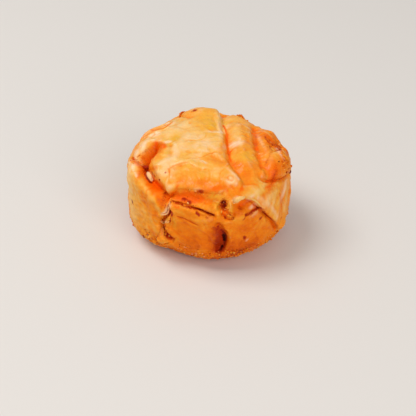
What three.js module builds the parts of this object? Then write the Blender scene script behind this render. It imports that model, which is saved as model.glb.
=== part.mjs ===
// A baked bread twist: one squat drum of laminated dough, baked in a ring, whose
// sheets fold over each other. Millimetres, +Z up, +X to the right, the shown
// front faces -Y. The origin is the middle of the flat underside.
//
// The surface starts as a drum with a domed top. Every point of it has two
// coordinates: the angle round the axis (degrees, 0 = +X, anticlockwise from
// above) and the run, the length along the profile from the middle of the top
// (0) over the rim to the foot. The folds are drawn in these two coordinates.
import * as THREE from 'three';

// ---- driving dimensions, mm ----
const MEAN_RADIUS = 47.6;        // of the drum at its widest
const RIM_HEIGHT = 38.0;         // height of the widest ring
const DOME_HEIGHT = 21.5;        // from that ring to the top
const DOME_POWER = 2.75;         // superellipse power of the dome (2 = round)
const FOOT_POWER = 5.4;          // and of the wall and its lower edge
const OUTLINE = [                // [order, cosine, sine]: the drum isn't round
  [2, -1.0, -0.4],
  [3, 0.0, -1.4],
  [4, 0.9, 1.1],
];
const TOP_SHIFT = [-1.9, 2.2];   // how far the top leans off the base
const FOOT_RUN = 97.5;           // run at which the wall meets the underside
const FADE_HEIGHT = 7.0;         // folds fade out below this height
const AROUND = 120;              // facets round the drum
const DOWN = 33;                 // rings from the top to the foot
const RELAX = 0.5;               // how far a point is relaxed in one pass
const RELAX_PASSES = 2;

// ---- the folds ----
// groove: a crease pressed in along a line, depth and half width.
// lap:    the edge of a sheet that lies over its neighbour. The sheet is on the
//         left of the line, seen from outside, rises by `height` at its edge and
//         sinks back over `reach`.
// swell:  a round bump (or a hollow, with a negative height) of a given radius.
// Points are [angle, run].
const FOLDS = [
  // the deep opening between the left wall's sheet and the top
  { kind: 'groove', depth: 7.5, width: 4.2, at: [[176, 29], [-161, 35], [-148, 42], [-132, 46.5], [-121, 54]] },
  { kind: 'lap', height: 1.8, reach: 9, width: 2.5, at: [[-120, 55], [-133, 51], [-150, 45], [-166, 39], [-176, 33]] },
  // the seam of the front sheet, and the split that runs down from its left end
  { kind: 'groove', depth: 3.6, width: 3.6, at: [[-119, 51.5], [-104, 50.5], [-92, 51.5], [-84, 55]] },
  { kind: 'lap', height: 2.0, reach: 10, width: 2.2, at: [[-84, 58], [-92, 55], [-103, 53.6], [-119, 54]] },
  { kind: 'groove', depth: 2.6, width: 2.3, at: [[-120, 55], [-120, 61], [-126, 68], [-123, 76], [-115, 79]] },
  // creases across the top, from the rear to the front
  { kind: 'groove', depth: 4.6, width: 3.2, at: [[66, 24], [40, 14], [-30, 14], [-58, 26], [-61, 39], [-64, 46]] },
  { kind: 'groove', depth: 2.8, width: 3.0, at: [[34, 37], [6, 29], [-20, 32], [-35, 39], [-38, 47]] },
  // the rounded roll at the right, and the line where it lies on the wall
  { kind: 'swell', height: 3.4, radius: 11, at: [[-18, 45]] },
  { kind: 'groove', depth: 3.6, width: 2.6, at: [[-50, 43], [-36, 48.5], [-27, 51.5], [-15, 54]] },
  { kind: 'groove', depth: 1.8, width: 2.2, at: [[6, 46], [-12, 39], [-30, 40], [-38, 43]] },
  // the pointed flap at the right front, arched over a hollow
  { kind: 'swell', height: -3.2, radius: 7, at: [[-66, 55]] },
  { kind: 'lap', height: 3.0, reach: 11, width: 2.4, at: [[-73, 52], [-62, 50.5], [-54, 57], [-43, 70], [-32, 82]] },
  // low parts of the front
  { kind: 'swell', height: -1.6, radius: 6, at: [[-81, 73]] },
  { kind: 'swell', height: -1.8, radius: 5, at: [[-79, 57]] },
  // the rear of the top: a roll between two creases
  { kind: 'swell', height: 2.2, radius: 9, at: [[98, 34]] },
  { kind: 'groove', depth: 2.8, width: 3.0, at: [[72, 30], [70, 38], [58, 47], [42, 52]] },
  { kind: 'lap', height: 1.6, reach: 9, width: 2.4, at: [[112, 44], [134, 36], [152, 38], [168, 38]] },
  // the hidden sides fold as the shown ones do
  { kind: 'groove', depth: 5.0, width: 3.6, at: [[120, 46], [104, 50], [88, 51], [72, 55]] },
  { kind: 'lap', height: 2.0, reach: 10, width: 2.4, at: [[70, 58], [86, 54.5], [104, 53.5], [122, 50]] },
  { kind: 'groove', depth: 2.6, width: 2.3, at: [[121, 50], [124, 59], [119, 68], [122, 79]] },
  { kind: 'lap', height: 2.8, reach: 11, width: 2.4, at: [[64, 80], [52, 68], [38, 58], [22, 54], [8, 58]] },
  { kind: 'swell', height: -2.4, radius: 7, at: [[30, 66]] },
  { kind: 'groove', depth: 2.4, width: 2.3, at: [[166, 50], [160, 60], [164, 70], [158, 80]] },
  { kind: 'swell', height: -1.4, radius: 7, at: [[142, 70]] },
];
const END_FADE = 5.0;            // a fold's line dies away over this length
const LINE_STEP = 1.2;           // spacing of the samples along a fold's line

// ---- the drum ----
const rad = (deg) => deg * Math.PI / 180;
const clamp = (x, lo, hi) => Math.min(hi, Math.max(lo, x));
const smooth = (x) => { const t = clamp(x, 0, 1); return t * t * (3 - 2 * t); };

function outline(a) {
  let r = MEAN_RADIUS;
  for (const [n, c, s] of OUTLINE) r += c * Math.cos(n * a) + s * Math.sin(n * a);
  return r;
}

// q runs 0 (middle of the top) - 1 (widest ring) - 2 (middle of the underside)
function profile(q) {
  const up = q < 1;
  const t = (up ? 1 - q : q - 1) * Math.PI / 2;
  const power = 2 / (up ? DOME_POWER : FOOT_POWER);
  const share = Math.pow(Math.abs(Math.cos(t)), power);
  const rise = Math.pow(Math.abs(Math.sin(t)), power);
  return [share, up ? RIM_HEIGHT + DOME_HEIGHT * rise : RIM_HEIGHT * (1 - rise)];
}

// length along the profile, to turn a run into q
const STEPS = 4000;
const runTable = new Float64Array(STEPS + 1);
for (let i = 1, before = profile(0); i <= STEPS; i++) {
  const now = profile(2 * i / STEPS);
  runTable[i] = runTable[i - 1] + Math.hypot((now[0] - before[0]) * MEAN_RADIUS, now[1] - before[1]);
  before = now;
}
function qAt(run) {
  let lo = 0, hi = STEPS;
  while (hi - lo > 1) { const mid = (lo + hi) >> 1; if (runTable[mid] <= run) lo = mid; else hi = mid; }
  return 2 * (lo + (run - runTable[lo]) / (runTable[hi] - runTable[lo])) / STEPS;
}

function drum(angle, run) {
  const [share, z] = profile(qAt(run));
  const lean = clamp((z - RIM_HEIGHT) / DOME_HEIGHT, 0, 1);
  const r = share * outline(angle);
  return new THREE.Vector3(r * Math.cos(angle) + TOP_SHIFT[0] * lean, r * Math.sin(angle) + TOP_SHIFT[1] * lean, z);
}

function drumNormal(angle, run) {
  const e = 0.002;
  const across = drum(angle + e, run).sub(drum(angle - e, run));
  const down = drum(angle, run + 0.1).sub(drum(angle, Math.max(run - 0.1, 0.001)));
  return down.cross(across).normalize();
}

// ---- the folds' lines, as samples on the drum ----
function lineOf(points) {
  // the curve is drawn on the flat chart (run as radius), where it has no seam
  const flat = points.map(([deg, run]) => new THREE.Vector3(run * Math.cos(rad(deg)), run * Math.sin(rad(deg)), 0));
  if (flat.length === 1) return [{ p: drum(rad(points[0][0]), points[0][1]), t: new THREE.Vector3(), s: 0 }];
  const curve = new THREE.CatmullRomCurve3(flat, false, 'centripetal');
  const count = Math.max(8, Math.ceil(curve.getLength() / LINE_STEP));
  const samples = curve.getSpacedPoints(count).map((c) => ({ p: drum(Math.atan2(c.y, c.x), Math.hypot(c.x, c.y)) }));
  let s = 0;
  samples.forEach((sample, i) => {
    if (i) s += sample.p.distanceTo(samples[i - 1].p);
    sample.s = s;
    sample.t = samples[Math.min(i + 1, samples.length - 1)].p.clone().sub(samples[Math.max(i - 1, 0)].p).normalize();
  });
  return samples;
}
for (const fold of FOLDS) {
  fold.line = lineOf(fold.at);
  fold.length = fold.line[fold.line.length - 1].s;
}

// how far one point of the drum moves along its normal
function foldHeight(point, normal) {
  let h = 0;
  for (const fold of FOLDS) {
    let best = null, d2 = Infinity;
    for (const sample of fold.line) {
      const d = sample.p.distanceToSquared(point);
      if (d < d2) { d2 = d; best = sample; }
    }
    const d = Math.sqrt(d2);
    if (fold.kind === 'swell') { h += fold.height * Math.exp(-d2 / fold.radius ** 2); continue; }
    const fade = smooth(best.s / END_FADE) * smooth((fold.length - best.s) / END_FADE) * 0.8 + 0.2;
    if (fold.kind === 'groove') { h -= fold.depth * fade * Math.exp(-d2 / fold.width ** 2); continue; }
    // a lap: signed distance, positive on the sheet
    const left = normal.clone().cross(best.t).dot(point.clone().sub(best.p));
    const side = d < 1e-6 ? 0 : Math.sign(left) * d;
    const sheet = smooth((side + fold.width * 0.5) / fold.width) * Math.exp(-Math.max(side, 0) / fold.reach);
    const under = Math.exp(-((side + fold.width) ** 2) / fold.width ** 2) * 0.35;
    h += fold.height * fade * (sheet - under);
  }
  return h;
}

// ---- the closed surface ----
const positions = [];
const push = (v) => (positions.push(v.x, v.y, v.z), positions.length / 3 - 1);
const faces = [];

// The height is averaged over the facets around the point, so that a narrow fold
// doesn't turn into teeth where it crosses the rings at a slant.
const SPREAD = [[0, 0, 4], [1, 0, 2], [-1, 0, 2], [0, 1, 2], [0, -1, 2], [1, 1, 1], [1, -1, 1], [-1, 1, 1], [-1, -1, 1]];
const SPREAD_STEP = 1.3;         // mm
function foldedPoint(angle, run) {
  const p = drum(angle, run);
  const n = drumNormal(angle, run);
  const turn = SPREAD_STEP / Math.max(Math.hypot(p.x, p.y), SPREAD_STEP);
  let h = 0, weight = 0;
  for (const [i, j, w] of SPREAD) {
    const a = angle + i * turn, r = Math.max(run + j * SPREAD_STEP, 0.2);
    h += w * foldHeight(drum(a, r), drumNormal(a, r));
    weight += w;
  }
  return p.addScaledVector(n, h / weight * smooth(p.z / FADE_HEIGHT));
}

// rings lie closer together towards the foot
const ringRun = (t) => FOOT_RUN * (0.6 * t + 0.4 * Math.sin(t * Math.PI / 2));

const top = push(foldedPoint(rad(-90), 0.2));
const rings = [];
for (let j = 1; j <= DOWN; j++) {
  const run = ringRun(j / DOWN);
  const ring = [];
  for (let i = 0; i < AROUND; i++) {
    const angle = 2 * Math.PI * (i + 0.5 * (j % 2)) / AROUND;
    const p = foldedPoint(angle, run);
    if (j === DOWN) p.z = 0;
    ring.push(push(p));
  }
  rings.push(ring);
}
const under = push(new THREE.Vector3(0, 0, 0));

for (let i = 0; i < AROUND; i++) {
  const k = (i + 1) % AROUND;
  faces.push(top, rings[0][i], rings[0][k]);
  faces.push(under, rings[DOWN - 1][k], rings[DOWN - 1][i]);
}
for (let j = 0; j + 1 < DOWN; j++) {
  const shifted = (j + 1) % 2 === 1;       // the upper ring of the pair is half a facet on
  for (let i = 0; i < AROUND; i++) {
    const k = (i + 1) % AROUND;
    const a = rings[j][i], b = rings[j][k], c = rings[j + 1][i], d = rings[j + 1][k];
    if (shifted) faces.push(a, c, d, a, d, b);
    else faces.push(a, c, b, b, c, d);
  }
}

// Steep fold walls are relaxed: each point goes part of the way to the middle of
// its neighbours. The last rings and the underside stay as they are.
for (let pass = 0; pass < RELAX_PASSES; pass++) {
  const sum = new Float64Array(positions.length), count = new Uint16Array(positions.length / 3);
  for (let f = 0; f < faces.length; f += 3) {
    for (let e = 0; e < 3; e++) {
      const a = faces[f + e], b = faces[f + (e + 1) % 3];
      for (let c = 0; c < 3; c++) sum[3 * a + c] += positions[3 * b + c];
      count[a]++;
    }
  }
  for (let v = 0; v < rings[DOWN - 4][0]; v++) {
    for (let c = 0; c < 3; c++) positions[3 * v + c] += RELAX * (sum[3 * v + c] / count[v] - positions[3 * v + c]);
  }
}

const geometry = new THREE.BufferGeometry();
geometry.setAttribute('position', new THREE.Float32BufferAttribute(positions, 3));
geometry.setIndex(faces);
// the origin goes to the middle of the underside's box
geometry.computeBoundingBox();
const middle = geometry.boundingBox.getCenter(new THREE.Vector3());
geometry.translate(-middle.x, -middle.y, -geometry.boundingBox.min.z);
geometry.computeVertexNormals();

const crust = new THREE.MeshStandardMaterial({ color: 0xe8963c, roughness: 0.38, metalness: 0 });
const twist = new THREE.Mesh(geometry, crust);
twist.name = 'bread_twist';

const model = new THREE.Group();
model.add(twist);
export default model;
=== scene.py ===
# A baked bread twist: the fine surface, its pieces, finish, light and camera.
import math

import bpy
import numpy as np
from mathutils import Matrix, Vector
from mathutils.kdtree import KDTree


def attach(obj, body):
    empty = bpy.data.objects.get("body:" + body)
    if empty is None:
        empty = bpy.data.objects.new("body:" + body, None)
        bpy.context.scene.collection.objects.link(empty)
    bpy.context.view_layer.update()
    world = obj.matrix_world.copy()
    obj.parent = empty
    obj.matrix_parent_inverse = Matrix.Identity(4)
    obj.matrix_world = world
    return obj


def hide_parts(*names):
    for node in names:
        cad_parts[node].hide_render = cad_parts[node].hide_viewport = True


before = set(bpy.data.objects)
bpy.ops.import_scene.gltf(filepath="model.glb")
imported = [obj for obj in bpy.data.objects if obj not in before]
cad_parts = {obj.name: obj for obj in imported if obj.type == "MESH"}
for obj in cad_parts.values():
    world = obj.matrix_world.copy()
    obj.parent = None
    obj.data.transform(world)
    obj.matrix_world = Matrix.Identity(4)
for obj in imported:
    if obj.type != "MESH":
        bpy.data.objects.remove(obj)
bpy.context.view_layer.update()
scene = bpy.context.scene

MM = 0.001
rad = math.radians

# =====================================================================
# 1. Camera and light
# =====================================================================
SHIFT = np.array([0.263, -1.183, 0.0])          # the drum's axis from the origin, mm
ELEVATION = rad(34.6)
CAMERA_MM = np.array([-0.85, -488.46, 348.57]) + SHIFT

cam_data = bpy.data.cameras.new("camera")
cam_data.sensor_width = 36.0
cam_data.lens = 985.3 * 36.0 / 416.0
cam_data.clip_start = 0.01
cam = bpy.data.objects.new("camera", cam_data)
cam.location = Vector(CAMERA_MM * MM)
cam.rotation_euler = (math.pi / 2 - ELEVATION, 0.0, 0.0)
scene.collection.objects.link(cam)
scene.camera = cam

scene.view_settings.view_transform = 'Standard'
scene.view_settings.look = 'None'

world = bpy.data.worlds.new("soft_room")
world.use_nodes = True
world.node_tree.nodes["Background"].inputs["Color"].default_value = (1.0, 0.97, 0.94, 1.0)
world.node_tree.nodes["Background"].inputs["Strength"].default_value = 0.42
scene.world = world


def area_light(name, place, target, size, power, colour=(1, 1, 1), size_y=None):
    data = bpy.data.lights.new(name, 'AREA')
    data.shape = 'RECTANGLE'
    data.size = size
    data.size_y = size_y or size
    data.energy = power
    data.color = colour
    ob = bpy.data.objects.new(name, data)
    ob.location = place
    ob.rotation_euler = (Vector(target) - Vector(place)).to_track_quat('-Z', 'Y').to_euler()
    scene.collection.objects.link(ob)
    return ob


area_light("window", (-0.92, 0.10, 1.66), (0, 0, 0.03), 1.1, 21.5, (1.0, 0.98, 0.95), 1.1)
area_light("fill", (0.75, -1.60, 1.05), (0, 0, 0.03), 1.4, 18.0, (1.0, 0.98, 0.95))


# =====================================================================
# 2. The drum that all folds are drawn on (mm)
# =====================================================================
MEAN_RADIUS = 47.6
RIM_HEIGHT = 38.0
DOME_HEIGHT = 21.5
DOME_POWER = 2.75
FOOT_POWER = 5.4
OUTLINE = ((2, -1.0, -0.4), (3, 0.0, -1.4), (4, 0.9, 1.1))
TOP_SHIFT = (-1.9, 2.2)


def outline(a):
    r = MEAN_RADIUS + 0 * a
    for n, c, s in OUTLINE:
        r = r + c * np.cos(n * a) + s * np.sin(n * a)
    return r


def profile(q):
    q = np.asarray(q, float)
    t = np.where(q < 1, 1 - q, q - 1) * np.pi / 2
    power = np.where(q < 1, 2 / DOME_POWER, 2 / FOOT_POWER)
    share = np.abs(np.cos(t)) ** power
    rise = np.abs(np.sin(t)) ** power
    return share, np.where(q < 1, RIM_HEIGHT + DOME_HEIGHT * rise, RIM_HEIGHT * (1 - rise))


Q_TABLE = np.linspace(0, 2, 4001)
_r, _z = profile(Q_TABLE)
RUN_TABLE = np.concatenate([[0], np.cumsum(np.hypot(np.diff(_r * MEAN_RADIUS), np.diff(_z)))])


def drum(ab):
    """ab: points of the flat chart, whose radius is the run and whose angle is the angle."""
    run = np.hypot(ab[..., 0], ab[..., 1])
    a = np.arctan2(ab[..., 1], ab[..., 0])
    share, z = profile(np.interp(run, RUN_TABLE, Q_TABLE))
    lean = np.clip((z - RIM_HEIGHT) / DOME_HEIGHT, 0, 1)
    r = share * outline(a)
    return np.stack([r * np.cos(a) + TOP_SHIFT[0] * lean, r * np.sin(a) + TOP_SHIFT[1] * lean, z], -1)


def drum_frame(ab, e=0.15):
    """The point, its outward normal and the two chart directions on the surface."""
    da = (drum(ab + [e, 0]) - drum(ab - [e, 0])) / (2 * e)
    db = (drum(ab + [0, e]) - drum(ab - [0, e])) / (2 * e)
    n = np.cross(da, db)
    n /= np.linalg.norm(n, axis=-1, keepdims=True)
    return drum(ab), n, da, db


def chart(points):
    p = np.array(points, float)
    a = np.radians(p[:, 0])
    return np.stack([p[:, 1] * np.cos(a), p[:, 1] * np.sin(a)], -1)


def smooth(x):
    x = np.clip(x, 0, 1)
    return x * x * (3 - 2 * x)


# ---- seeded gradient noise ----
_rng = np.random.RandomState(7)
_perm = np.concatenate([_rng.permutation(256)] * 3)
_grads = _rng.normal(size=(256, 3))
_grads /= np.linalg.norm(_grads, axis=1, keepdims=True)


def noise(p, scale, seed=0):
    """About -1..1; scale is the size of its lumps in mm."""
    p = p / scale + seed * 17.37
    i = np.floor(p).astype(int)
    f = p - i
    w = f * f * f * (f * (6 * f - 15) + 10)
    out = 0
    for dx in (0, 1):
        for dy in (0, 1):
            for dz in (0, 1):
                h = _perm[(_perm[(_perm[(i[:, 0] + dx) & 255] + i[:, 1] + dy) & 255] + i[:, 2] + dz) & 255]
                g = _grads[h]
                d = (g * (f - [dx, dy, dz])).sum(-1)
                out = out + d * np.where(dx, w[:, 0], 1 - w[:, 0]) * np.where(dy, w[:, 1], 1 - w[:, 1]) * np.where(dz, w[:, 2], 1 - w[:, 2])
    return out * 1.9


def fbm(p, scale, octaves=3, seed=0, gain=0.5):
    out, amp, tot = 0, 1.0, 0.0
    for k in range(octaves):
        out = out + amp * noise(p, scale / 2 ** k, seed + 3 * k)
        tot += amp
        amp *= gain
    return out / tot


# =====================================================================
# 3. Lines on the drum, and distances to them
# =====================================================================
def catmull(p, step=0.6):
    if len(p) == 2:
        n = max(2, int(np.linalg.norm(p[1] - p[0]) / step))
        return p[0] + (p[1] - p[0]) * np.linspace(0, 1, n + 1)[:, None]
    e = np.concatenate([[2 * p[0] - p[1]], p, [2 * p[-1] - p[-2]]])
    out = []
    for k in range(1, len(e) - 2):
        n = max(2, int(np.linalg.norm(e[k + 1] - e[k]) / step))
        t = np.linspace(0, 1, n, endpoint=False)[:, None]
        a, b, c, d = e[k - 1], e[k], e[k + 1], e[k + 2]
        out.append(0.5 * ((2 * b) + (c - a) * t + (2 * a - 5 * b + 4 * c - d) * t ** 2 + (3 * b - a - 3 * c + d) * t ** 3))
    out.append(p[-1:])
    return np.concatenate(out)


class Line:
    def __init__(self, points, wobble=0.0, seed=0):
        ab = catmull(chart(points))
        p, n, da, db = drum_frame(ab)
        if wobble:
            k = fbm(p, 5.0, 2, 40 + seed) * wobble
            t = np.gradient(p, axis=0)
            t /= np.linalg.norm(t, axis=1, keepdims=True)
            p = p + np.cross(n, t) * k[:, None]
        self.p, self.n = p, n
        self.seg = p[1:] - p[:-1]
        self.len = np.linalg.norm(self.seg, axis=1)
        self.arc = np.concatenate([[0], np.cumsum(self.len)])
        self.length = self.arc[-1]

    def near(self, P, reach):
        """Indices within reach, signed distance (positive on the left of the line seen
        from outside), arc length there, and the unit direction to the left."""
        coarse = self.p[::4]
        lo, hi = self.p.min(0) - reach, self.p.max(0) + reach
        idx = np.nonzero(((P > lo) & (P < hi)).all(1))[0]
        if len(idx):
            keep = []
            for part in np.array_split(idx, max(1, len(idx) // 20000)):
                d2 = ((P[part][:, None] - coarse[None]) ** 2).sum(-1).min(1)
                keep.append(part[d2 < (reach + 1.8) ** 2])
            idx = np.concatenate(keep)
        if not len(idx):
            z = np.zeros(0)
            return idx, z, z, np.zeros((0, 3))
        Q = P[idx]
        best = np.full(len(idx), 1e18)
        at = np.zeros(len(idx))
        pt = np.zeros((len(idx), 3))
        tn = np.zeros((len(idx), 3))
        nn = np.zeros((len(idx), 3))
        for k in range(len(self.seg)):
            if self.len[k] < 1e-9:
                continue
            d = self.seg[k]
            t = np.clip(((Q - self.p[k]) @ d) / self.len[k] ** 2, 0, 1)
            c = self.p[k] + t[:, None] * d
            dd = ((Q - c) ** 2).sum(-1)
            m = dd < best
            best[m] = dd[m]
            at[m] = self.arc[k] + t[m] * self.len[k]
            pt[m] = c[m]
            tn[m] = d / self.len[k]
            nn[m] = self.n[k]
        dist = np.sqrt(best)
        left = np.cross(nn, tn)
        left /= np.linalg.norm(left, axis=1, keepdims=True)
        side = ((Q - pt) * left).sum(-1)
        m = dist <= reach
        return idx[m], (np.where(side < 0, -1, 1) * dist)[m], at[m], left[m]


def along(at, length, fade, swing=None):
    """1 in the middle of a line and 0 at its ends; swing gives more values along it."""
    a, b = fade
    e = np.ones_like(at)
    if a > 0:
        e *= smooth(at / a)
    if b > 0:
        e *= smooth((length - at) / b)
    if swing is not None:
        e *= np.interp(at / length, np.linspace(0, 1, len(swing)), swing)
    return e


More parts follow.
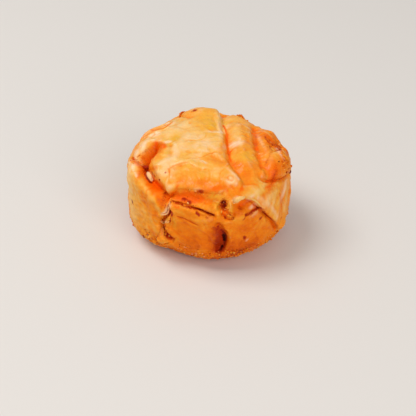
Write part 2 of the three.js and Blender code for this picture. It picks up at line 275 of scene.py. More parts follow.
# =====================================================================
# 4. The folds. Points are (angle, run); see the drum above.
# =====================================================================
# groove: dig along a line; wl, wr are its half widths on the left and the right
# lip:    edge of a sheet on the left of the line, which stands up by lift, sinks
#         back over reach, hangs over by over, with a gap of depth under below it
# swell:  a round bump or hollow
FOLDS = [
    # --- the opening between the left wall's sheet and the top ---
    dict(kind="groove", at=[(176.8, 30.5), (-169.8, 33.2), (-161.2, 38.5), (-155.5, 42.4), (-146.2, 44.3), (-139.8, 46.5),
                            (-133.5, 48.8), (-127.5, 51.2), (-123.2, 53.7), (-120, 55.3)],
         depth=9.0, wl=5.2, wr=2.6, fade=(3, 2), swing=(.45, .7, .85, .95, 1, 1, .95, .9, .8, .7), sharp=1),
    dict(kind="lip", at=[(-121, 55.5), (-130.2, 51.2), (-137.8, 50.0), (-144.2, 47.5), (-151.5, 44.6), (-161.2, 42.2), (-168, 42.5)],
         lift=2.6, reach=5, edge=1.1, under=0.3, uw=1.0, over=0.8, fade=(2, 4), sharp=1, wobble=.3),
    dict(kind="lip", at=[(-176.5, 24.8), (-160, 27.4), (-153.2, 32.8), (-148.5, 36.5), (-141, 39.5), (-133.5, 42), (-127.5, 44.9),
                         (-122.5, 47.9), (-119.5, 50.6), (-119.2, 54.5)],
         lift=1.6, reach=7, edge=1.8, under=0.3, uw=1.5, over=0.8, fade=(5, 2), sharp=1, wobble=.4),
    dict(kind="groove", at=[(-175, 46.9), (-165.2, 43.6), (-159.2, 42.8)], depth=1.8, wl=0.9, wr=0.9, fade=(1, 1), sharp=1),
    dict(kind="lip", at=[(-156, 44), (-158.5, 41.4), (-163, 36.4), (-170.5, 32.2), (-178.5, 30), (175, 29)],
         lift=1.7, reach=6, edge=0.8, under=0.8, uw=1.2, over=0.6, fade=(2, 3), sharp=1, wobble=.8),
    dict(kind="groove", at=[(-172, 29), (-163, 30.8), (-156.5, 34)], depth=1.1, wl=1.6, wr=0.7, fade=(2, 2), wobble=.8),
    dict(kind="swell", at=(-160, 34.4), height=0.9, size=(2.4, 1.7)),
    # --- rear left: the thin sheet along the rim ---
    dict(kind="lip", at=[(164, 46), (160.5, 43.0), (157.2, 40.4), (153, 37.6), (147, 34.8), (139.2, 32.4), (130.8, 31)],
         lift=1.7, reach=3, edge=0.6, under=0.7, uw=1.2, over=0.5, fade=(2, 3), sharp=1, wobble=.4),
    dict(kind="groove", at=[(166, 39.1), (162.8, 35.2), (156, 31.5), (146, 27.5)], depth=1.2, wl=1.4, wr=1.3, fade=(3, 3)),
    # --- the front seam ---
    dict(kind="groove", at=[(-121, 50.5), (-112, 49), (-102, 48.3), (-92, 48.6), (-85, 51.5), (-81, 56)],
         depth=4.0, wl=3.9, wr=4.0, fade=(3, 3)),
    dict(kind="lip", at=[(-122, 50), (-118, 47), (-111.5, 44.2), (-101.8, 43.2), (-92.5, 43.8), (-83.8, 44.2), (-76.8, 45)],
         lift=1.0, reach=7, edge=1.2, under=0.7, uw=1.6, over=1.3, fade=(3, 4), sharp=1, wobble=.5),
    dict(kind="groove", at=[(-119.2, 53.9), (-113.8, 53.5), (-107.8, 53.7), (-102.7, 54.3), (-96.5, 55.4), (-90.5, 57.1), (-85.8, 59.2)],
         depth=2.0, wl=0.9, wr=0.7, fade=(1, 2), swing=(.6, .7, .8, 1, 1.1, 1.2, 1), sharp=1, wobble=.7),
    dict(kind="lip", at=[(-85.8, 59.4), (-90.5, 57.4), (-96.5, 55.8), (-102.7, 54.7), (-107.8, 54.1), (-113.8, 54.0), (-119.2, 54.6)],
         lift=1.4, reach=8, edge=1.2, under=0.1, uw=1.2, over=0.8, fade=(3, 1), sharp=1, wobble=.7),
    dict(kind="groove", at=[(-99.2, 55.5), (-96.2, 58), (-91.5, 58.6)], depth=1.4, wl=0.6, wr=0.6, fade=(1, 1)),
    dict(kind="groove", at=[(-115, 60.4), (-109.8, 60.5), (-103.2, 62.5), (-97, 64.8)], depth=0.7, wl=0.5, wr=0.9, fade=(3, 3)),
    dict(kind="groove", at=[(-94.2, 61.7), (-93, 65), (-91.8, 67.8)], depth=0.6, wl=0.5, wr=0.6, fade=(2, 2)),
    # --- the split at the left front ---
    dict(kind="groove", at=[(-120, 54), (-118.8, 58.2), (-121.2, 62.9), (-125, 68.4), (-124.4, 72.6), (-122.3, 76.2), (-119, 78.3), (-115, 78.5)],
         depth=3.6, wl=1.2, wr=1.6, fade=(1, 2), wobble=.9, sharp=1),
    dict(kind="lip", at=[(-118.2, 54.6), (-116.8, 58.2), (-119.2, 62.9), (-122.4, 67.4), (-121.6, 72), (-119, 75.6), (-114.5, 77)],
         lift=1.4, reach=4, edge=0.6, under=0.2, uw=0.8, over=0.7, fade=(2, 2), wobble=.9),
    dict(kind="lip", at=[(-119, 81), (-124.5, 77.5), (-126.8, 73), (-127.5, 68.6), (-123.6, 62.9), (-121.6, 58.2), (-121.5, 55)],
         lift=1.5, reach=4, edge=0.6, under=0.2, uw=0.8, over=0.8, fade=(2, 2), wobble=.9),
    dict(kind="groove", at=[(-140, 83.4), (-137.2, 86.3), (-134.2, 89.8)], depth=2.0, wl=0.8, wr=0.8, fade=(1, 1), wobble=.5),
    dict(kind="groove", at=[(-131, 79.5), (-129, 83.6), (-131, 88)], depth=1.8, wl=0.8, wr=0.8, fade=(1, 1), wobble=.5),
    dict(kind="swell", at=(-138.5, 84.4), height=1.4, size=(2.0, 1.6)),
    dict(kind="swell", at=(-134.8, 86.5), height=1.6, size=(1.8, 2.0)),
    dict(kind="swell", at=(-128, 81.5), height=1.8, size=(2.6, 2.4)),
    dict(kind="swell", at=(-123.8, 80.5), height=1.4, size=(2.2, 2.2)),
    # --- the roll of the front panel into the burnt seam ---
    dict(kind="groove", at=[(-85.5, 61.5), (-81.6, 66.3), (-79, 71.7), (-79.2, 76.5), (-81.2, 80.8), (-85.5, 84.5)],
         depth=3.4, wl=1.0, wr=5.0, fade=(3, 3), sharp=1, wobble=.3),
    dict(kind="groove", at=[(-82, 63), (-78.5, 67.5), (-76.4, 72), (-76.8, 77), (-79, 82)], depth=-0.9, wl=2.4, wr=1.4, fade=(3, 3)),
    # --- the burnt spot at the end of the front seam ---
    dict(kind="swell", at=(-80, 52.5), height=-2.4, size=(2.6, 5.0)),
    dict(kind="groove", at=[(-82.2, 54.9), (-81.2, 58), (-78, 59.2), (-74.8, 59), (-72.8, 57)], depth=1.6, wl=0.7, wr=0.7, fade=(1, 1), sharp=1),
    dict(kind="groove", at=[(-80.6, 47.8), (-84, 51), (-85, 54), (-83.8, 58)], depth=-1.5, wl=0.9, wr=0.9, fade=(2, 2)),
    dict(kind="groove", at=[(-76.5, 50), (-75.5, 53), (-75.8, 57)], depth=-1.1, wl=1.1, wr=1.1, fade=(2, 2)),
    # --- the main crease across the top ---
    dict(kind="groove", at=[(78, 41), (70.8, 29.9), (64.2, 24.4), (55.5, 18), (29, 14.3), (-11, 12.7), (-40.2, 16.8), (-54.5, 22.5),
                            (-59.8, 28.5), (-60, 34), (-60.5, 38.9), (-62.2, 43.4), (-63.5, 46)],
         depth=3.6, wl=4.4, wr=2.1, fade=(2, 4), swing=(.75, .7, .65, .65, .7, .8, .9, 1, 1, .9, .7, .5, .3), sharp=1, wobble=.5),
    dict(kind="lip", at=[(-64, 46), (-63.5, 43), (-62.5, 38.9), (-62.4, 34), (-62.8, 28.5), (-59.5, 22.5), (-47, 16.3), (-18, 11.8), (27, 12.6), (55, 16.5),
                         (66, 24), (72.5, 30), (79, 40)],
         lift=1.7, reach=8, edge=2.3, under=0.0, uw=1.0, over=0.5, fade=(5, 3), swing=(.4, .6, .9, .8, .5, .6, .8, .8, .9), wobble=.6),
    dict(kind="groove", at=[(48, 31), (25, 21), (-10, 21), (-32, 24.5), (-44, 30), (-49, 38)], depth=-1.3, wl=3.6, wr=3.6, fade=(6, 6)),
    dict(kind="groove", at=[(27, 40), (6, 35), (-12, 34.5), (-24, 37)], depth=-1.1, wl=3.0, wr=3.0, fade=(5, 4)),
    dict(kind="swell", at=(-70, 40), height=1.2, size=(5.5, 4.0)),
    # --- the second crease ---
    dict(kind="groove", at=[(36, 40), (34.5, 36.7), (6.5, 29.1), (-14.5, 30.1), (-26.8, 34.2), (-34.8, 38.9), (-38, 43.6), (-40, 47.5)],
         depth=2.5, wl=3.0, wr=2.4, fade=(3, 2), wobble=.7),
    # --- the roll at the right ---
    dict(kind="swell", at=(-17, 44.0), height=3.4, size=(9.5, 8.0)),
    dict(kind="swell", at=(14, 41), height=1.0, size=(8, 6)),
    dict(kind="swell", at=(25, 43), height=1.5, size=(6, 5)),
    dict(kind="swell", at=(4, 47), height=1.2, size=(4, 4)),
    dict(kind="lip", at=[(-48, 41.8), (-44.8, 44.5), (-39, 47.1), (-30.8, 49.6), (-21.5, 52.2), (-13, 54.2)],
         lift=3.8, reach=7, edge=3.0, under=1.9, uw=1.5, over=0.8, fade=(4, 3), sharp=1, wobble=.3),
    dict(kind="lip", at=[(7, 47), (-4.5, 42.6), (-14.2, 39.2), (-21.8, 38.1), (-29, 39.3), (-37.2, 42.4)],
         lift=1.3, reach=5, edge=1.3, under=0.5, uw=1.1, over=0.5, fade=(4, 3), sharp=1, wobble=.4),
    # --- the flap and the arch over the hollow ---
    dict(kind="lip", at=[(-73.8, 50.6), (-68.5, 49.2), (-62.8, 49.8), (-58, 52.7), (-54.8, 56.6), (-49.2, 62.7), (-43.5, 69.3), (-35.5, 80.5)],
         lift=4.0, reach=8, edge=1.6, under=2.4, uw=2.4, over=2.0, fade=(3, 1.5), swing=(.8, 1, 1, 1, .9, .8, .8, .9), sharp=1, wobble=.5),
    dict(kind="lip", at=[(-34.5, 81.5), (-30.5, 79.5), (-27.6, 75), (-26.8, 69), (-27.5, 62)],
         lift=2.2, reach=4, edge=0.8, under=1.2, uw=1.2, over=1.0, fade=(1, 4), swing=(1, 1, .8, .5), sharp=1),
    dict(kind="swell", at=(-66.5, 53.6), height=-4.2, size=(6.0, 3.4)),
    dict(kind="lip", at=[(-55.5, 56.8), (-57.5, 56.8), (-61.5, 58.3), (-66.5, 59.4)],
         lift=1.2, reach=6, edge=0.9, under=1.0, uw=1.1, over=0.3, fade=(1, 2), sharp=1),
    dict(kind="groove", at=[(-66.2, 73.2), (-63.5, 70.5)], depth=1.1, wl=0.9, wr=0.9, fade=(.5, .5)),
    dict(kind="groove", at=[(-52.8, 66), (-51.5, 68.5)], depth=0.8, wl=0.8, wr=0.8, fade=(.5, .5)),
    # --- the rear of the top ---
    dict(kind="swell", at=(97, 31), height=3.2, size=(11, 8)),
    dict(kind="swell", at=(60, 39), height=1.8, size=(6, 5)),
    dict(kind="swell", at=(76, 40), height=-1.0, size=(3.5, 4)),
    dict(kind="swell", at=(126, 38), height=-1.6, size=(5, 6)),
    dict(kind="swell", at=(150, 42), height=1.1, size=(6, 4)),
    dict(kind="swell", at=(-172, 62), height=-1.1, size=(8, 14)),
    # --- the foot at the front ---
    dict(kind="swell", at=(-120, 91), height=-1.8, size=(13, 7)),
    dict(kind="swell", at=(-66, 92), height=-1.6, size=(12, 7)),
    dict(kind="groove", at=[(118, 42), (116, 36), (113, 30), (104, 22)], depth=1.8, wl=2.0, wr=2.0, fade=(2, 5)),
    dict(kind="lip", at=[(108, 44), (103, 41.5), (97, 40.5), (91, 41.5)], lift=1.6, reach=2, edge=0.6, under=0.5, uw=1.0, over=0.8, fade=(1.5, 1.5), wobble=.9),
    dict(kind="lip", at=[(120, 41), (116.5, 39), (112, 39)], lift=1.8, reach=1.6, edge=0.6, under=0.5, uw=1.0, over=0.7, fade=(1, 1), wobble=.9),
    dict(kind="lip", at=[(63, 40.5), (58, 39), (53, 40)], lift=1.3, reach=2, edge=0.6, under=0.5, uw=1.0, over=0.7, fade=(1, 1), wobble=.7),
    dict(kind="groove", at=[(81.2, 24.4), (65.5, 13.9), (35.8, 9.6)], depth=0.9, wl=1.0, wr=1.6, fade=(4, 4)),
    dict(kind="groove", at=[(-172.5, 20.2), (-149, 22.9), (-137, 28.2)], depth=1.2, wl=1.5, wr=1.6, fade=(4, 4)),
    dict(kind="swell", at=(-164, 25.6), height=1.1, size=(2.6, 2.0)),
    dict(kind="groove", at=[(-129.2, 22.9), (-121.2, 18.2), (-97.5, 13.7)], depth=0.6, wl=0.8, wr=1.4, fade=(4, 4)),
    dict(kind="groove", at=[(-123.2, 32.1), (-117.5, 29.1), (-110.2, 27.2)], depth=0.6, wl=0.6, wr=1.0, fade=(3, 3)),
    dict(kind="groove", at=[(-100.2, 29.9), (-90.5, 30.7), (-84.2, 29.7)], depth=0.5, wl=0.6, wr=1.0, fade=(3, 3)),
    dict(kind="groove", at=[(-75.5, 36.7), (-71.8, 38.1), (-71, 41.2)], depth=0.6, wl=0.45, wr=0.45, fade=(1, 1)),
    dict(kind="groove", at=[(-75.7, 39.5), (-73.5, 41.6), (-71, 43)], depth=0.6, wl=0.45, wr=0.45, fade=(1, 1)),
    dict(kind="groove", at=[(-74.8, 43.2), (-68.8, 43.4), (-66.5, 44.9)], depth=0.6, wl=0.45, wr=0.45, fade=(1, 1)),
    dict(kind="groove", at=[(-132, 28), (-138, 36), (-133, 41)], depth=-0.8, wl=1.4, wr=1.8, fade=(4, 3)),
    dict(kind="groove", at=[(-118, 38), (-122, 42), (-121, 46)], depth=-0.7, wl=1.2, wr=1.4, fade=(3, 2)),
    dict(kind="groove", at=[(-84, 8), (-76, 20), (-68, 27)], depth=0.9, wl=1.0, wr=2.2, fade=(4, 4), wobble=.5),
    # --- the hidden sides fold as the shown ones do ---
    dict(kind="groove", at=[(122, 45), (112, 48), (98, 49), (84, 51), (72, 54)], depth=4.2, wl=3.4, wr=2.6, fade=(5, 5)),
    dict(kind="groove", at=[(122, 50), (104, 53.2), (86, 54.2), (70, 57.6)], depth=2.2, wl=0.7, wr=1.3, fade=(2, 3), sharp=1),
    dict(kind="lip", at=[(122, 50.4), (104, 53.8), (86, 54.8), (70, 58.2)], lift=1.5, reach=9, edge=0.8, under=0.2, uw=1, over=0.9, fade=(2, 3), sharp=1),
    dict(kind="groove", at=[(122, 50), (124, 57), (120, 64), (123, 72), (120, 79)], depth=2.8, wl=1.2, wr=1.4, fade=(1, 3), wobble=.8, sharp=1),
    dict(kind="lip", at=[(64, 80), (52, 68), (38, 58), (22, 54), (8, 57)], lift=2.0, reach=9, edge=1.0, under=1.6, uw=1.6, over=1.4, fade=(2, 5), sharp=1),
    dict(kind="swell", at=(30, 63), height=-2.0, size=(8, 4)),
    dict(kind="groove", at=[(170, 47), (164, 55), (166, 63), (160, 72), (162, 80)], depth=2.4, wl=1.0, wr=3.6, fade=(2, 4), wobble=.5, sharp=1),
    dict(kind="groove", at=[(150, 62), (146, 68), (148, 76)], depth=0.6, wl=0.7, wr=0.7, fade=(3, 3), wobble=.5),
    dict(kind="groove", at=[(84, 64), (92, 66), (101, 70)], depth=0.5, wl=0.5, wr=0.8, fade=(3, 3)),
    dict(kind="groove", at=[(2, 62), (5, 70), (1, 80)], depth=1.6, wl=0.9, wr=4.0, fade=(4, 3), wobble=.4, sharp=1),
    dict(kind="swell", at=(78, 70), height=-1.3, size=(4, 7)),
    dict(kind="swell", at=(142, 71), height=0.9, size=(9, 9)),
    dict(kind="swell", at=(100, 76), height=0.8, size=(10, 7)),
    dict(kind="swell", at=(-12, 74), height=0.5, size=(9, 8)),
]

# =====================================================================
# 5. The colour, painted on the drum, with painted shade in folds and hollows and painted highlights on
#    ridges. (angle, run, radius, radius, turn of the ellipse, what, how much, strength)
# =====================================================================
# tone: how dark it is, 0 pale to 1 dark, from how far it is baked and from painted shade in hollows and low on the
# walls;
# the saturated-orange field: painted shade in folds, hollows and undersides, and a few red spots; the pale field: pale
# dough and painted highlights on ridges and sheet edges; yolk: egg-yellow; burn: burnt sugar, and painted shade under
# the roll and in the burnt seam
PATCHES = [
    (-135.8, 14.5, 21.8, 19.6, 23, 'tone', 0.155, 1),  # crown of the big lobe
    (148.8, 20.7, 13.9, 11.5, -153, 'tone', 0.12, 1),  # rear left of it
    (109.8, 33.4, 11.7, 4.5, 120, 'tone', 0.34, 0.8),  # rear rim, left
    (90.5, 21.9, 18.6, 8.4, 90, 'tone', 0.27, 1),  # rear roll
    (89.0, 20.5, 17.9, 5.4, 89, 'yolk', 0.75, 1),  # rear roll, yellow
    (92.8, 38.1, 10.4, 1.0, -180, 'tone', 0.37, 0.85),  # rear roll, rim
    (112.0, 16.8, 9.4, 1.5, 111, 'tone', 0.3, 0.7),  # rear roll, side
    (69.0, 19.2, 6.4, 2.7, 70, 'yolk', 0.8, 1),  # rear roll, right end
    (73.8, 32.4, 8.0, 2.3, -117, 'pale_and_highlight', 0.35, 1),  # rear roll, pale right rim
    (-108.5, 27.8, 10.8, 7.2, 178, 'tone', 0.26, 0.95),  # middle of the crown
    (-97.0, 34.6, 13.9, 3.8, -178, 'tone', 0.35, 0.95),  # front of the crown
    (-94.8, 39.9, 17.1, 3.2, -175, 'tone', 0.515, 1),  # front roll
    (-111.2, 41.6, 4.1, 3.5, -165, 'tone', 0.5, 1),  # front roll, left
    (-84.7, 41.8, 8.7, 2.2, -169, 'tone', 0.53, 1),  # front roll, right
    (-86.5, 43.2, 8.2, 1.2, -170, 'orange_and_fold_shade', 0.6, 1),  # front roll, under: painted shade below the crown's edge
    (-73.2, 23.9, 7.8, 4.2, 109, 'tone', 0.385, 0.95),  # facets right of the crown
    (-80.2, 33.4, 5.5, 4.0, -173, 'tone', 0.31, 0.8),  # facets, front
    (-79.2, 22.7, 4.1, 1.3, 84, 'tone', 0.45, 0.8),  # facet edge
    (52.2, 9.2, 7.1, 1.3, 40, 'pale_and_highlight', 0.75, 1),  # pale arm, left
    (34.0, 11.0, 7.8, 1.0, 39, 'pale_and_highlight', 0.75, 1),  # pale arm, right
    (-70.5, 9.6, 8.4, 2.6, 110, 'pale_and_highlight', 0.5, 1),  # strip beside the crease
    (-91.0, 6.1, 6.5, 4.6, 89, 'pale_and_highlight', 0.6, 1),  # pale middle, right
    (-97.2, 14.1, 5.1, 2.0, 169, 'pale_and_highlight', 0.55, 1),  # pale stroke
    (142.8, 22.1, 8.2, 6.8, -129, 'pale_and_highlight', 0.4, 1),  # pale shoulder, rear
    (-177.0, 9.2, 8.1, 6.2, 101, 'pale_and_highlight', 0.55, 1),  # pale middle
    (-140.2, 15.7, 6.2, 5.1, 28, 'pale_and_highlight', 0.5, 1),  # pale middle, front
    (-178.0, 18.6, 5.6, 2.8, 106, 'yolk', 0.8, 1),  # yellow band at the rear
    (-112.5, 27.6, 5.3, 4.7, -161, 'yolk', 0.55, 1),  # yellow patch
    (-93.5, 33.6, 6.1, 2.9, -178, 'yolk', 0.35, 1),  # yellow patch, right
    (-125.8, 20.0, 4.8, 2.6, 172, 'yolk', 0.3, 1),  # yellow patch, rear
    (-119.2, 11.0, 6.3, 3.4, 60, 'yolk', 0.18, 1),  # olive dip
    (-85.8, 20.7, 4.1, 3.6, 94, 'tone', 0.37, 0.85),  # orange at the right middle
    (-94.2, 24.4, 2.9, 0.9, 155, 'pale_and_highlight', 0.7, 1),  # wavy strip
    (-93.7, 29.3, 3.4, 0.8, -173, 'pale_and_highlight', 0.45, 1),  # wavy strip, front
    (-91.5, 30.3, 1.1, 0.7, -177, 'tone', 0.52, 0.7),  # mark by the strips
    (-157.5, 20.5, 3.7, 1.7, 19, 'yolk', 0.8, 1),  # yellow spot
    (-144.0, 24.8, 5.1, 1.3, 35, 'yolk', 0.6, 1),  # yellow dip
    (-144.0, 24.8, 5.1, 1.3, 35, 'tone', 0.27, 0.8),  # yellow dip, shade
    (-171.8, 21.9, 2.6, 1.8, 91, 'pale_and_highlight', 0.9, 1),  # pale rim over the opening
    (176.8, 27.4, 5.2, 2.9, 170, 'tone', 0.36, 0.8),  # orange behind the opening
    (-163.8, 24.8, 2.7, 1.9, -1, 'orange_and_fold_shade', 0.95, 1),  # red spot on the shoulder
    (-155.5, 27.8, 2.5, 0.9, 22, 'tone', 0.55, 0.7),  # olive beside the opening
    (-136.0, 32.8, 9.5, 4.3, 43, 'tone', 0.16, 0.9),  # left shoulder
    (-125.8, 37.3, 5.6, 3.4, 52, 'pale_and_highlight', 0.45, 1),  # left shoulder, light
    (-145.8, 31.5, 3.2, 2.4, 8, 'tone', 0.28, 0.8),  # left shoulder, orange rear
    (-127.0, 32.8, 9.9, 1.4, 55, 'pale_and_highlight', 0.75, 1),  # pink ridge
    (-131.5, 32.2, 3.9, 2.3, 45, 'pale_and_highlight', 0.4, 1),  # pink ridge, rear
    (-120.8, 41.0, 3.2, 2.4, 54, 'pale_and_highlight', 0.3, 1),  # left front corner, pale
    (-116.8, 43.4, 3.3, 2.8, -166, 'tone', 0.3, 0.8),  # left front corner
    (-119.5, 45.5, 2.3, 1.8, 65, 'pale_and_highlight', 0.5, 1),  # left front corner, light
    (-123.2, 45.7, 1.7, 1.1, 67, 'tone', 0.45, 0.8),  # orange on the corner
    (-121.8, 31.7, 5.4, 1.9, 59, 'orange_and_fold_shade', 0.32, 1),  # mottled place
    (-120.5, 28.9, 3.3, 1.8, 57, 'pale_and_highlight', 0.5, 1),  # mottled place, light
    (-113.5, 43.8, 2.0, 1.1, 73, 'orange_and_fold_shade', 0.85, 1),  # red spot at the front
    (-128.2, 38.3, 0.8, 0.6, 47, 'burn', 0.55, 1),  # speck on the shoulder
    (-105.2, 44.7, 2.9, 2.2, 76, 'tone', 0.55, 0.5),  # olive streaks at the front
    (-27.5, 24.8, 27.1, 7.6, 151, 'tone', 0.33, 1),  # second lobe
    (-7.5, 11.2, 14.5, 1.6, -3, 'tone', 0.46, 1),  # slope beside the crease
    (22.0, 11.4, 5.9, 1.3, 23, 'yolk', 0.5, 1),  # slope, yellow
    (-58.2, 28.9, 9.9, 2.9, 139, 'tone', 0.5, 1),  # slope, front
    (-56.8, 37.1, 6.6, 5.5, -131, 'tone', 0.455, 1),  # second lobe, front
    (-58.2, 43.8, 5.5, 3.5, -169, 'tone', 0.415, 1),  # second lobe, foot
    (56.8, 28.7, 8.1, 3.9, 80, 'tone', 0.22, 1),  # second lobe, rear rim
    (64.2, 30.1, 5.9, 2.2, 95, 'pale_and_highlight', 0.35, 1),  # second lobe, rear pale
    (43.8, 31.7, 10.1, 4.2, 50, 'tone', 0.3, 0.9),  # second lobe, rear
    (6.5, 23.3, 9.0, 2.2, -171, 'tone', 0.42, 1),  # second lobe, orange
    (-34.8, 28.0, 7.5, 4.5, 155, 'yolk', 0.6, 1),  # second lobe, yellow
    (-35.8, 31.1, 2.7, 1.7, 156, 'yolk', 0.85, 1),  # second lobe, olive
    (-23.8, 17.4, 6.8, 2.6, 155, 'pale_and_highlight', 1.0, 1),  # second lobe, highlight
    (-1.8, 19.0, 3.0, 2.0, -148, 'pale_and_highlight', 0.5, 1),  # second lobe, highlight rear
    (-42.8, 33.8, 4.6, 2.2, -165, 'pale_and_highlight', 0.22, 1),  # second lobe, pink front
    (-50.0, 40.6, 5.3, 2.5, 124, 'tone', 0.47, 0.8),  # between lobes, front
    (-33.2, 16.2, 5.2, 0.8, 148, 'tone', 0.55, 0.6),  # crease, olive
    (-1.0, 28.2, 16.1, 1.5, -179, 'tone', 0.46, 1),  # second crease
    (-16.5, 34.6, 15.0, 4.0, 162, 'tone', 0.41, 1),  # third lobe
    (7.8, 30.9, 11.6, 1.5, -169, 'pale_and_highlight', 0.6, 1),  # third lobe, light
    (28.2, 38.1, 8.2, 1.8, -143, 'pale_and_highlight', 0.3, 1),  # third lobe, pink
    (-35.5, 38.5, 7.2, 3.0, 148, 'tone', 0.4, 0.9),  # third lobe, front
    (11.5, 40.1, 15.5, 5.3, 26, 'tone', 0.59, 1),  # browned patch
    (12.8, 37.7, 6.8, 2.1, -157, 'orange_and_fold_shade', 0.45, 1),  # browned patch, inner
    (0.0, 41.0, 7.5, 3.2, -134, 'tone', 0.7, 1),  # browned patch, lower
    (-19.8, 43.8, 11.2, 6.3, -172, 'tone', 0.46, 1),  # roll
    (-10.0, 41.2, 7.4, 2.3, -151, 'tone', 0.24, 1),  # roll, lit top
    (-4.8, 43.2, 5.7, 1.7, -137, 'pale_and_highlight', 0.7, 1),  # roll, lit top, light
    (0.5, 48.4, 5.4, 2.3, -160, 'tone', 0.26, 0.9),  # roll, light right
    (-26.2, 42.8, 6.1, 3.6, -170, 'tone', 0.56, 0.9),  # roll, orange
    (-15.0, 48.3, 8.2, 4.2, -176, 'tone', 0.585, 1),  # roll, browned right
    (-32.8, 46.7, 11.6, 3.0, -156, 'orange_and_fold_shade', 1, 1),  # roll, under: painted shade
    (-33.2, 47.1, 10.8, 2.1, -156, 'burn', 0.3, 1),  # roll, under, dark: painted shade
    (-42.8, 42.4, 3.5, 2.5, 149, 'tone', 0.52, 0.9),  # roll, left under: painted shade
    (-36.8, 49.6, 12.1, 2.3, -156, 'tone', 0.42, 1),  # below the roll
    (-24.5, 53.5, 6.8, 2.8, -154, 'tone', 0.46, 1),  # below the roll, right
    (-54.5, 48.6, 11.3, 3.3, -161, 'tone', 0.24, 1),  # flap
    (-52.0, 46.7, 4.0, 2.8, -171, 'tone', 0.24, 0.9),  # flap, left light
    (-55.2, 44.0, 4.9, 1.5, 122, 'tone', 0.45, 0.8),  # flap, strip
    (-58.2, 50.8, 7.2, 1.4, -158, 'tone', 0.2, 1),  # flap, pale crest
    (-59.5, 49.8, 7.0, 1.2, -159, 'pale_and_highlight', 0.5, 1),  # flap, pale crest light
    (-71.0, 49.4, 2.8, 2.0, 162, 'tone', 0.12, 1),  # flap, tip
    (-71.2, 49.4, 2.3, 1.7, 162, 'pale_and_highlight', 0.85, 1),  # flap, tip light
    (-43.0, 58.0, 9.5, 6.0, -139, 'tone', 0.22, 1),  # flap, right
    (-48.0, 55.5, 6.9, 3.4, -141, 'pale_and_highlight', 0.5, 1),  # flap, right pale
    (-48.5, 59.0, 4.9, 1.3, 55, 'tone', 0.27, 0.9),  # flap, yellow
    (-50.2, 61.5, 3.9, 1.4, 51, 'tone', 0.42, 0.8),  # flap, orange edge
    (-37.5, 68.7, 9.3, 3.2, 58, 'tone', 0.27, 1),  # flap, low
    (-35.2, 71.9, 5.0, 1.7, 62, 'pale_and_highlight', 0.35, 1),  # flap, low light
    (-43.2, 67.4, 4.4, 1.6, 51, 'tone', 0.36, 0.8),  # flap, near the edge
    (-44.8, 49.2, 2.6, 1.5, -162, 'orange_and_fold_shade', 0.6, 1),  # flap, spot
    (-45.0, 49.4, 1.2, 0.6, -161, 'burn', 0.14, 1),  # flap, spot middle
    (-22.0, 69.5, 17.2, 6.6, 71, 'tone', 0.29, 1),  # right wall
    (-30.8, 65.0, 9.0, 2.3, 81, 'tone', 0.54, 1),  # right wall, dark strip
    (-25.5, 58.8, 7.0, 2.8, -140, 'pale_and_highlight', 0.7, 1),  # right wall, light
    (-27.5, 65.2, 5.9, 2.2, -140, 'tone', 0.47, 0.8),  # right wall, mottled
    (-21.5, 81.0, 21.1, 3.8, -135, 'tone', 0.42, 0.8),  # right wall, low
    (-67.2, 53.3, 5.5, 3.9, -158, 'tone', 0.52, 1),  # hollow under the arch: painted shade
    (-68.5, 52.0, 3.5, 1.7, -164, 'orange_and_fold_shade', 0.4, 1),  # hollow, orange: painted shade
    (-70.5, 56.3, 3.0, 2.3, -151, 'tone', 0.56, 1),  # hollow, dark left: painted shade
    (-64.8, 52.0, 4.9, 1.3, -160, 'tone', 0.6, 1),  # hollow, roof: painted shade
    (-60.2, 54.9, 3.0, 1.3, -168, 'pale_and_highlight', 0.8, 1),  # painted highlight in the hollow
    (-61.5, 60.2, 7.1, 3.4, -139, 'tone', 0.42, 1),  # below the arch
    (-59.0, 59.4, 3.2, 1.8, -145, 'pale_and_highlight', 0.35, 1),  # below the arch, light
    (-50.0, 65.8, 5.4, 3.2, -129, 'tone', 0.42, 1),  # right panel, top
    (-103.2, 69.9, 13.8, 9.7, 151, 'tone', 0.55, 1),  # front panel
    (-105.2, 57.6, 8.6, 2.3, -174, 'tone', 0.54, 1),  # front panel, top
    (-110.5, 58.2, 3.1, 1.3, 174, 'tone', 0.38, 0.8),  # front panel, light
    (-113.8, 64.8, 4.6, 3.3, 123, 'tone', 0.46, 0.8),  # front panel, left light
    (-114.8, 66.4, 3.5, 1.2, 94, 'yolk', 0.45, 1),  # front panel, olive
    (-96.5, 77.9, 9.5, 5.7, 163, 'tone', 0.66, 1),  # front panel, bottom: browner, and painted shade low on the wall
    (-117.8, 82.2, 7.1, 3.8, 155, 'tone', 0.5, 1),  # front panel, left foot
    (-111.8, 85.3, 7.2, 5.1, 174, 'tone', 0.58, 1),  # base, left front
    (-93.7, 83.0, 3.7, 3.1, 135, 'tone', 0.52, 0.8),  # base, light
    (-65.8, 67.8, 13.6, 7.6, -153, 'tone', 0.56, 1),  # right panel
    (-76.8, 67.2, 4.1, 2.8, 82, 'tone', 0.5, 0.9),  # right panel, light
    (-67.8, 83.2, 13.8, 5.2, -170, 'tone', 0.77, 1),  # right panel, bottom: browner, and painted shade low on the wall
    (-46.0, 78.1, 9.6, 4.7, -127, 'tone', 0.49, 1),  # right panel, right
    (-75.2, 77.7, 4.5, 2.8, 80, 'tone', 0.68, 0.8),  # beside the burnt seam
    (-84.0, 73.8, 9.5, 3.6, 89, 'tone', 0.88, 1),  # burnt crescent: burnt colour, and painted shade where the panel rolls into the seam
    (-83.5, 73.8, 8.1, 3.0, 89, 'burn', 0.24, 1),  # burnt crescent, red
    (-83.8, 79.7, 4.0, 2.9, 87, 'burn', 0.46, 1),  # burnt crescent, lower
    (-85.2, 65.6, 2.8, 1.9, 180, 'burn', 0.34, 1),  # burnt crescent, top
    (-84.5, 59.6, 4.4, 2.7, -179, 'tone', 0.55, 0.9),  # above the burnt seam
